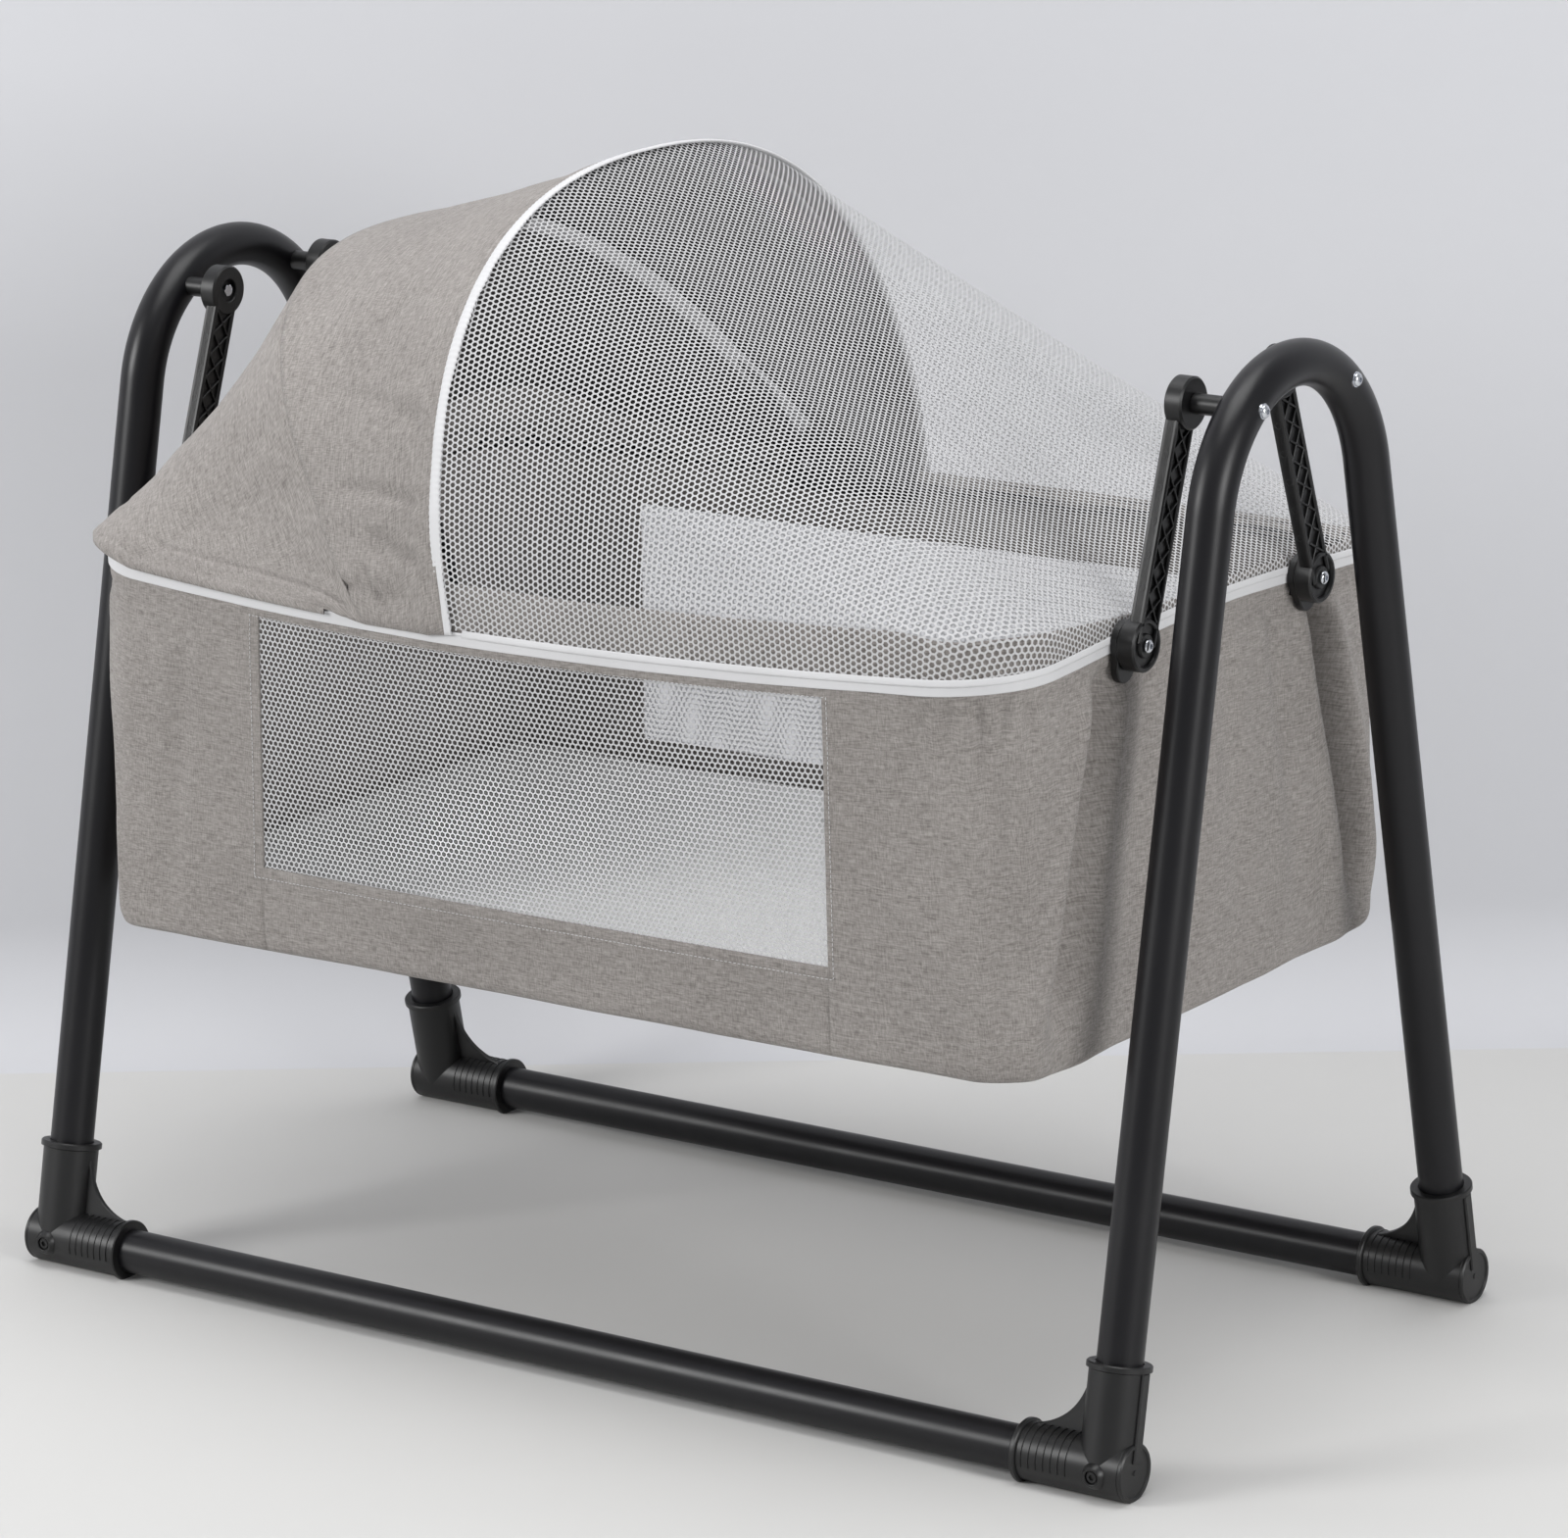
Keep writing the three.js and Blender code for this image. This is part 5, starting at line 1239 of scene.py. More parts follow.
class CribArms(bpy.types.Operator, CribPiece):
    """Builds the four swing arms, their bolts, spacers and the brackets at the rim"""

    bl_idname = "crib.arms"
    bl_label = "Swing arms"

    # Radius of the bolts, and the play between pieces that turn past each other
    BOLT, PLAY = 3 * mm, 0.3 * mm

    def make(self, shape):
        for end, side in CORNERS:
            sign = (SIGN[end], SIGN[side], 1)
            place, arm = f"{end}_{side}", f"arm_{end}_{side}"
            bar = self.bar(shape).build(f"arm_bar_{place}", sign)
            finish_piece(bar, arm, "black_plastic", [f"swing_arm_{place}"])
            for name, (unit, count, step) in (
                    ("arm_ribs", self.lattice(shape)), ("arm_marks", self.marks(shape))):
                obj = repeat(unit.build(f"{name}_{place}", sign), count, (0, 0, 0), step * sign)
                finish_piece(obj, arm, "black_plastic")
            for solid, name, body, slot, node in (
                    (self.lower_bolt(shape), "lower_screw", "basket", "zinc_steel", "lower_bolt"),
                    (self.upper_bolt(shape), "upper_screw", "stand", "zinc_steel", "upper_bolt"),
                    (self.nut(shape), "lock_nut", "stand", "zinc_steel", "upper_nut"),
                    (self.spacer(shape), "spacer", "stand", "black_plastic", "pivot_spacer"),
                    (self.bracket(shape), "bracket", "basket", "black_plastic", "rim_bracket")):
                obj = solid.build(f"{name}_{place}", sign)
                finish_piece(obj, body, slot, [f"{node}_{place}"])

    def places(self, shape):
        ar = shape.ar
        upper = np.array([0, ar.upper_half, ar.upper_height])
        lower = np.array([0, ar.lower_half, ar.lower_height])
        down = (lower - upper) / np.linalg.norm(lower - upper)
        return upper, lower, down, np.cross(down, (1.0, 0, 0))

    def bar(self, shape):
        ar = shape.ar
        upper, lower, down, across = self.places(shape)
        reach = np.linalg.norm(lower - upper)
        half, middle = ar.bar_width / 2, ar.lower_face + 10 * mm
        web_width, rail_width, rail_depth = 6.6 * mm, 12 * mm, 4.2 * mm
        solid = Solid()
        web = [(0, -half), (reach, -half), (reach, half), (0, half)]
        solid.prism(web, upper + (middle, 0, 0), down, across, web_width, 0.2 * mm)
        for edge in (-1, 1):
            low, high = sorted((edge * half, edge * (half - rail_depth)))
            rail = [(0, low), (reach, low), (reach, high), (0, high)]
            solid.prism(rail, upper + (middle, 0, 0), down, across, rail_width, 1.1 * mm)
        r, w = ar.boss_radius, ar.boss_width
        face = ar.upper_face
        solid.lathe(
            upper + (face, 0, 0), (1, 0, 0),
            [(5 * mm, 5 * mm), (5 * mm, 9.5 * mm), (0.6 * mm, 9.8 * mm), (0, 10.4 * mm), (0, r - 1.4 * mm),
             (1.4 * mm, r), (w - 1.6 * mm, r), (w, r - 1.6 * mm), (w, 5 * mm)], 72)
        face = ar.lower_face
        solid.lathe(
            lower + (face, 0, 0), (1, 0, 0),
            [(0, 4 * mm), (0, r - 1.4 * mm), (1.4 * mm, r), (w - 1.4 * mm, r), (w, r - 1.4 * mm),
             (w, r - 3.4 * mm), (w - 0.4 * mm, r - 3.9 * mm), (w - 3.2 * mm, r - 4.6 * mm),
             (w - 3.2 * mm, 10.2 * mm), (w - 1 * mm, 9.6 * mm), (w - 0.4 * mm, 9 * mm),
             (w - 0.4 * mm, 4 * mm)], 72)
        return solid

    def lattice(self, shape):
        """Crossed ribs in a pocket of the bar, with their number and step along it."""
        ar = shape.ar
        upper, lower, down, across = self.places(shape)
        reach = np.linalg.norm(lower - upper)
        free = reach - 2 * ar.boss_radius + 4 * mm
        count = max(round(free / ar.rib_pitch), 2)
        pitch = free / count
        half = ar.bar_width / 2 - 4 * mm
        origin = upper + down * (ar.boss_radius - 2 * mm + pitch / 2) + (ar.lower_face + 10 * mm, 0, 0)
        unit = Solid()
        for slant in (-1, 1):
            way = down * pitch + across * 2 * half * slant
            run = np.linalg.norm(way)
            way /= run
            a, b = run / 2, 0.8 * mm
            rib = [(-a, -b), (a, -b), (a, b), (-a, b)]
            unit.prism(rib, origin, way, np.cross(way, (1.0, 0, 0)), 11.2 * mm, 0.3 * mm)
        return unit, count, down * pitch

    def marks(self, shape):
        """Round marks on the narrow edges of the bar, with their number and step along it."""
        ar = shape.ar
        upper, lower, down, across = self.places(shape)
        count, pitch = 5, ar.mark_pitch
        middle = (upper + lower) / 2 + (ar.lower_face + 10 * mm, 0, 0)
        unit = Solid()
        for edge in (-1, 1):
            at = middle - down * pitch * (count - 1) / 2 + across * edge * ar.bar_width / 2
            unit.lathe(at, across * edge,
                       [(-0.5 * mm, 3.1 * mm), (0.12 * mm, 3.1 * mm), (0.22 * mm, 2.9 * mm),
                        (0.22 * mm, 2.5 * mm), (-0.15 * mm, 2.35 * mm)], 32)
        return unit, count, down * pitch

    def lower_bolt(self, shape):
        ar = shape.ar
        lower = self.places(shape)[1] + (ar.lower_face + ar.boss_width + self.PLAY, 0, 0)
        solid = Solid().lathe(lower, (1, 0, 0), [(-20 * mm, self.BOLT), (1 * mm, self.BOLT)], 24)
        return button_head(solid, lower)

    def upper_bolt(self, shape):
        upper = self.places(shape)[0]
        start = shape.frame_x + shape.st.tube_radius
        solid = Solid()
        shaft = [(1 * mm, self.BOLT), (start - shape.ar.upper_face + 1 * mm, self.BOLT)]
        solid.lathe(upper + (shape.ar.upper_face, 0, 0), (1, 0, 0), shaft, 24)
        solid.lathe(upper + (start - 1.5 * mm, 0, 0), (1, 0, 0), [(0, 6.6 * mm), (1.8 * mm, 6.4 * mm)], 36)
        return button_head(solid, upper + (start + self.PLAY, 0, 0))

    def nut(self, shape):
        upper = self.places(shape)[0] + (shape.ar.upper_face, 0, 0)
        profile = [(self.PLAY, 3.2 * mm), (self.PLAY, 4.6 * mm), (0.7 * mm, 5.5 * mm), (4.8 * mm, 5.5 * mm)]
        return Solid().lathe(upper, (1, 0, 0), profile, 36, flats={2, 3})

    def spacer(self, shape):
        ar = shape.ar
        upper = self.places(shape)[0]
        start = ar.upper_face + ar.boss_width + self.PLAY
        end = shape.frame_x - 8 * mm
        profile = [(start, 6 * mm), (start, 7.9 * mm), (start + 0.6 * mm, 8.5 * mm), (end, 8.5 * mm)]
        return Solid().lathe(upper, (1, 0, 0), profile, 48)

    def bracket(self, shape):
        ar = shape.ar
        lower = self.places(shape)[1]
        lug = np.array([lower[1] + 5 * mm, lower[2] - 18 * mm])
        bend = math.atan2(5, 18)
        outline = []
        for a in np.linspace(bend, bend + math.pi, 22):
            outline.append((lower[1] + 19 * mm * math.cos(a), lower[2] + 19 * mm * math.sin(a)))
        for a in np.linspace(bend + math.pi, bend + 2 * math.pi, 18):
            outline.append((lug[0] + 13 * mm * math.cos(a), lug[1] + 13 * mm * math.sin(a)))
        inner = ar.lower_face - 7.3 * mm
        solid = Solid()
        solid.prism(outline, (inner + 3.5 * mm, 0, 0), (0, 1, 0), (0, 0, 1), 7 * mm, 0.8 * mm)
        rim = float(shape.rim_z(shape.half_x, ar.lower_half))
        low = rim - 17 * mm
        solid.box((shape.half_x - 22 * mm, ar.lower_half - 11 * mm, low),
                  (inner + 7 * mm, ar.lower_half + 11 * mm, rim - 8.2 * mm), 0.8 * mm)
        return solid


class CribBasket(bpy.types.Operator, CribPiece):
    """Sews the basket's cloth, its zip band, its two net windows and the mattress"""

    bl_idname = "crib.basket"
    bl_label = "Basket"

    TOP_ROWS, WINDOW_ROWS, LOW_ROWS, EDGE_ROWS, FLOOR_ROWS = 10, 30, 10, 9, 4

    # Soft folds of the wall: place under the rim and at the bottom, width, and height in mm
    FOLDS = (
        (1.338, 1.258, 0.017, -10.0),
        (1.205, 1.190, 0.013, -3.2),
        (1.656, 1.735, 0.015, -9.5),
        (1.590, 1.640, 0.012, -3.5),
        (1.480, 1.450, 0.014, -2.2),
        (0.262, 0.300, 0.011, -5.5),
        (0.420, 0.395, 0.011, -2.6),
    )

    # Pleats under the band: place and depth at both ends
    PLEATS = (
        ((1.150, 0.006), (1.120, 0.085)),
        ((1.172, 0.004), (1.160, 0.050)),
        ((1.192, 0.004), (1.186, 0.072)),
        ((1.212, 0.004), (1.208, 0.045)),
        ((1.236, 0.004), (1.230, 0.062)),
        ((1.262, 0.004), (1.258, 0.040)),
    )

    # Section of the rolled edge: out and up in mm, and its share of the collar's extra height
    COLLAR = (
        (0.0, 1.0, 0), (-0.3, 3.5, 0.08), (-0.7, 5.2, 0.35), (-1.0, 6.4, 0.65), (-1.4, 7.2, 0.9),
        (-2.1, 7.8, 0.985), (-3.1, 8.0, 1), (-4.1, 7.9, 0.985), (-4.8, 7.8, 0.9), (-5.0, 8.0, 0.6),
        (-5.2, 8.2, 0.3), (-5.6, 8.5, 0.06), (-7.0, 9.1, 0), (-9.5, 9.2, 0), (-13.0, 8.3, 0),
        (-16.3, 5.8, 0), (-18.6, 1.5, 0), (-19.2, -3.0, 0),
    )

    def make(self, shape):
        self.shape = shape
        self.ring = shape.rim_line()
        self.rim_z = self.ring[:, 4]
        self.low = shape.bottom_line()
        self.columns = len(self.ring)
        self.run = np.concatenate([[0], np.cumsum(np.hypot(*np.diff(self.ring[:, :2], axis=0).T))])
        self.perimeter = self.run[-1] + math.dist(self.ring[-1, :2], self.ring[0, :2])
        self.near_start = shape.END + shape.CORNER
        self.far_start = self.columns - self.near_start - sum(shape.LONG)
        self.shell()
        self.band()
        for side in ("near", "far"):
            self.window(side)
        self.mattress()

    def window_columns(self, side):
        first, width = sum(self.shape.LONG[:2]), sum(self.shape.LONG[2:5])
        if side == "near":
            return self.near_start + first, self.near_start + first + width
        last = self.columns - self.near_start - first
        return last - width, last

    def strips(self):
        """Height of the strip over the windows and of their sills, blended round the ends."""
        near, far = self.shape.window("near"), self.shape.window("far")
        share = smooth(self.ring[:, 1], -0.28, 0.28)
        strip = near[4] + (far[4] - near[4]) * share
        sill = near[5] + (far[5] - near[5]) * share
        return strip, sill

    def wall_heights(self):
        """Heights of the wall's rows at each column, from under the hem down to the foot."""
        shape = self.shape
        strip, sill = self.strips()
        top = self.rim_z - shape.rim_tube
        head = self.rim_z - strip
        base = shape.bottom_z + sill
        foot = np.full_like(top, shape.foot_z)
        parts = []
        for start, end, count in (
            (top, head, self.TOP_ROWS), (head, base, self.WINDOW_ROWS), (base, foot, self.LOW_ROWS)):
            steps = np.linspace(0, 1, count + 1)[:-1]
            parts += [start + (end - start) * t for t in steps]
        return np.array(parts + [foot])

    def wall_points(self, inset):
        """The wall, straight between the bottom's outline and the rim, drawn in by an inset."""
        shape = self.shape
        z = self.wall_heights()
        top = self.rim_z - shape.rim_tube
        share = (z - shape.foot_z) / (top - shape.foot_z)
        upper = self.ring[:, :2] - self.ring[:, 2:4] * inset
        lower = self.low[:, :2] - self.low[:, 2:4] * inset
        flat = lower[None] + (upper - lower)[None] * share[..., None]
        return np.concatenate([flat, z[..., None]], -1)

    def wrinkles(self, z):
        """How far the slack cloth stands off its straight lines."""
        shape = self.shape
        u = np.broadcast_to(self.run, z.shape)
        y = self.ring[:, 1]
        depth = self.rim_z - z
        down = np.clip(depth / 0.3, 0, 1.1)
        around = self.perimeter

        # Slack all round, and fine pleats under the band
        soft = vertex_field(u, z, 3, around / 24, 0.15, 24) * 2.2
        soft = soft + vertex_field(u, z, 4, around / 70, 0.06, 70) * 1.1
        pleat = vertex_field(u + 0.1 * z, z, 5, around / 230, 0.07, 230) * 2.4
        total = soft * smooth(depth, 0.0, 0.06)
        total = total + pleat * np.exp(-depth / 0.03) * 0.35

        # Gathers at the foot corners, the same on both sides, then the soft folds
        for mirrored in (False, True):
            place = around - u if mirrored else u
            corner = np.exp(-(((place - 1.205) / 0.055) ** 2))
            total = total + pleat * np.exp(-depth / 0.045) * corner * 1.6
            for start, end in self.PLEATS:
                total = total - 5.0 * dent(place, depth, start, end, 0.0060)
            for top, low, width, height in self.FOLDS:
                where = top + (low - top) * down
                away = (place - where) / (width * (0.75 + 0.5 * down))
                wave = np.exp(-(away**2)) - 0.45 * np.exp(-(((np.abs(away) - 1.9) / 0.9) ** 2))
                wave = height * wave * smooth(depth, 0.004, 0.05)
                total = total + wave * (1 - smooth(depth, 0.24, 0.33))

        # A crease where the cloth leaves the rim tube
        ends = smooth(np.abs(self.ring[:, 0]), 0.36, 0.44)
        crease = np.exp(-(((depth - 0.024) / 0.006) ** 2)) * (0.6 + 1.9 * ends)
        total = (total * smooth(depth, 0.004, 0.02) - crease) * mm

        # Round the windows the cloth is calm, with a raised hem and a groove along its edge
        calm = 1.0
        for side in ("near", "far"):
            a, b = self.window_columns(side)
            strip, sill = self.strips()
            high, base = self.rim_z - strip, shape.bottom_z + sill
            away = np.maximum(np.maximum(z - high, base - z), 0)
            along = np.minimum(np.abs(self.run - self.run[a]), np.abs(self.run - self.run[b]))
            along[a : b + 1] = 0
            distance = np.hypot(away, along)
            mine = np.sign(y) == SIGN[side]
            calm = calm - 0.8 * mine * np.exp(-((distance / 0.028) ** 2))
            total = total + mine * (1 - smooth(distance, 0.0075, 0.0095)) * 0.6 * mm
            for edge in (a, b):
                total[:, edge] -= 1.7 * mm * ((away > 0) & (depth > 0.006))[:, edge]
        seam = -1.3 * mm * np.exp(-(((z - shape.foot_z + 0.004) / 0.0022) ** 2))
        return total * calm + seam

    def out_of_wall(self, distance):
        """Moves of the wall's points, a distance out along the rim's normals."""
        normal = np.concatenate([self.ring[:, 2:4], 0 * self.ring[:, :1]], 1)
        return normal * distance[..., None]

    def edge_rows(self, off, inset):
        """Rows of the rounded edge at the bottom, a squarish bend."""
        shape = self.shape
        wave = vertex_field(self.run, 0 * self.run, 8, self.perimeter / 40, 1.0, 40) * 1.2 * mm
        rows, size, power = [], shape.bottom_edge, 2 / 4.5
        turn = np.linspace(0, math.pi / 2, self.EDGE_ROWS + 1)[1:]
        for a in turn:
            across, down = max(math.cos(a), 0), math.sin(a)
            draw = size * (1 - across**power) if a < turn[-1] else size
            place = self.low[:, :2] - self.low[:, 2:4] * (draw + inset * math.cos(a))
            push = off * math.cos(a) + wave * math.sin(2 * a)
            place = place + self.low[:, 2:4] * push[:, None]
            z = shape.foot_z - size * down**power + inset * down + 0 * self.run
            rows.append(np.concatenate([place, z[:, None]], 1))
        return rows

    def floor_rows(self, last):
        """Rows that shrink from the bottom edge to near the middle of the floor."""
        return [last * (k, k, 1) for k in np.linspace(1, 0.03, self.FLOOR_ROWS + 1)[1:]]

    def hem_rows(self):
        """Rows of the rolled edge over the rim, which stands up as a collar on the near side."""
        extra = self.shape.collar(self.ring[:, 0], self.ring[:, 1]) - self.shape.roll
        sway = vertex_field(self.run, 0 * self.run, 9, self.perimeter / 50, 1.0, 50) * 0.05
        rows = []
        for out, up, stand in self.COLLAR:
            lean = stand * extra * (0.04 + sway)
            rows.append(beside(self.ring, out * mm - lean, up * mm + stand * extra))
        return rows

    def window_gaps(self, levels, window_top, inner_top):
        """Which quads of the shell are cloth, and the quads between its skins round the windows."""
        keep = np.ones((levels - 1, self.columns), bool)
        t, s = self.TOP_ROWS, self.TOP_ROWS + self.WINDOW_ROWS
        rims = []
        for side in ("near", "far"):
            a, b = self.window_columns(side)
            keep[window_top - s : window_top - t, a:b] = False
            keep[inner_top + t : inner_top + s, a:b] = False
            edges = [((k, c), (k, c + 1), flip) for k, flip in ((t, 1), (s, -1)) for c in range(a, b)]
            edges += [((k, c), (k + 1, c), flip) for c, flip in ((a, -1), (b, 1)) for k in range(t, s)]
            for (row, c), (next_row, next_c), flip in edges:
                quad = [(window_top - row, c), (window_top - next_row, next_c),
                        (inner_top + next_row, next_c), (inner_top + row, c)]
                rims.append(quad[::flip])
        return keep, rims

    def shell(self):
        """The basket's cloth in two skins, from the floor up the outside, over the rim and down."""
        thick = self.shape.ba.cloth
        outer = self.wall_points(0.0)
        off = self.wrinkles(outer[..., 2])
        shifted = outer + self.out_of_wall(off)
        inner = shifted - self.out_of_wall(np.full_like(off, thick))
        out_edge = self.edge_rows(off[-1], 0.0)
        in_edge = self.edge_rows(off[-1], thick)
        rows = [*self.floor_rows(out_edge[-1])[::-1], *out_edge[::-1], *shifted[::-1]]
        window_top = len(rows) - 1
        rows += self.hem_rows()
        inner_top = len(rows)
        rows += [*inner, *in_edge, *self.floor_rows(in_edge[-1])]
        grid, levels = np.array(rows), len(rows)
        keep, rims = self.window_gaps(levels, window_top, inner_top)
        faces = [tuple(f) for f in grid_faces(levels, self.columns, wrap=True, keep=keep)]
        faces += [tuple(r * self.columns + c for r, c in quad) for quad in rims]
        faces.append(tuple(range(self.columns)))
        faces.append(tuple(range((levels - 1) * self.columns, levels * self.columns))[::-1])
        v = arc_lengths(grid, 0)
        v = v - v[window_top]
        uv = np.stack([np.broadcast_to(self.run, v.shape), v], -1)
        obj = mesh_object("basket_cloth", grid.reshape(-1, 3), faces, uv.reshape(-1, 2), sharp=None)
        finish_piece(obj, "basket", "grey_fabric", ["basket_shell"])
        self.seams(shifted)

    def seams(self, wall):
        """Rows of thread round the windows."""
        for side in ("near", "far"):
            a, b = self.window_columns(side)
            t, s = self.TOP_ROWS - 1, self.TOP_ROWS + self.WINDOW_ROWS + 2
            a, b = a - 2, b + 2
            ring = [*wall[t, a:b], *wall[t:s, b], *wall[s, b:a:-1], *wall[s:t:-1, a]]
            normal = np.array([0, SIGN[side], 0])
            obj = stitches(f"window_thread_{side}", np.array(ring) + normal * 0.5 * mm)
            finish_piece(obj, "basket", "white_tape")

    def band(self):
        """White zip tape round the rim, ribbed along its length, with piping on its upper edge."""
        ba = self.shape.ba
        h = ba.band_height / 2
        wave = vertex_field(self.run, 0 * self.run, 12, self.perimeter / 60, 1.0, 60) * 0.35 * mm
        section = [
            (0.2, -1.0), (0.9, -1.02), (1.35, -0.86), (1.15, -0.72), (1.4, -0.58), (1.2, -0.42),
            (1.45, -0.25), (1.25, -0.08), (1.5, 0.1), (1.3, 0.28), (1.55, 0.44), (1.3, 0.55),
            (1.9, 0.66), (2.2, 0.82), (1.9, 1.0), (1.2, 1.06), (0.5, 1.0), (0.2, 0.6),
        ]
        rings = []
        for out, up in section:
            rings.append(beside(self.ring, out * mm, up * h + wave))
        grid = np.array(rings).transpose(1, 0, 2)
        obj = Solid().loft(grid, closed=True).build("zip_band", sharp=None)
        finish_piece(obj, "basket", "white_tape", ["rim_band"])

    def window(self, side):
        """The net of a window, as wide as its opening and sewn in behind the cloth."""
        a, b = self.window_columns(side)
        a, b = a - 1, b + 1
        t, s = self.TOP_ROWS - 1, self.TOP_ROWS + self.WINDOW_ROWS + 1
        wall = self.wall_points(1.3 * mm)
        off = self.wrinkles(wall[..., 2]) * 0.7
        wall = wall + self.out_of_wall(off)
        part = wall[t : s + 1, a : b + 1]
        uv = flat_uv(part)
        faces = grid_faces(*part.shape[:2])
        points, cut = part.reshape(-1, 3), uv.reshape(-1, 2)
        obj = mesh_object(f"window_mesh_{side}", points, faces, cut, recalc=False, sharp=None)
        face_outwards(obj, Vector((0, 0, 0.5)))
        netting(obj, self.shape.ba)
        finish_piece(obj, "basket", "white_net", [f"window_net_{side}"])

    def mattress(self):
        """A soft pad in a white cover, crowned on top, its sides drawn in, with a piped edge."""
        shape = self.shape
        base = shape.bottom_z + 8.6 * mm
        rows = []
        profile = [
            (26, 0.0), (18, 0.4), (13.5, 2.5), (11, 7), (10.2, 14), (10.4, 20), (11.2, 25), (10.4, 26.6),
            (10.2, 27.6), (11.0, 28.4), (13.5, 29.6), (18, 30.8), (26, 32.0), (40, 33.0), (62, 33.8),
            (90, 34.2),
        ]
        for inset, up in profile:
            low = shape.bottom_line(inset * mm)
            z = np.full(len(low), base + up * mm)
            soft = vertex_field(low[:, 0] + 1, low[:, 1] + 1, 21, 0.07, 0.07) * 0.8 * mm * min(up / 30, 1)
            rows.append(np.stack([low[:, 0], low[:, 1], z + soft], -1))
        last = rows[-1]
        for k in np.linspace(1, 0.03, 9)[1:]:
            place = last * (k, k, 1)
            soft = vertex_field(place[:, 0] + 1, place[:, 1] + 1, 21, 0.07, 0.07) * 0.8 * mm
            place[:, 2] = base + 34.4 * mm + soft
            rows.append(place)
        obj = Solid().loft(np.array(rows)).build("mattress_cover", sharp=None)
        finish_piece(obj, "basket", "white_cover", ["mattress"])


def cloth_frame(rows, centre):
    """Cut map, outward normals and rough outward directions of a cloth round a centre."""
    uv, normal, outward = flat_uv(rows), grid_normals(rows), rows - np.array(centre)
    if np.sum(normal * outward) < 0:
        normal = -normal
    return uv, normal, outward


def face_outwards(obj, centre):
    """Turns an open surface's faces away from a point."""
    mesh = obj.data
    total = sum((p.center - centre).dot(p.normal) * p.area for p in mesh.polygons)
    if total < 0:
        mesh.flip_normals()


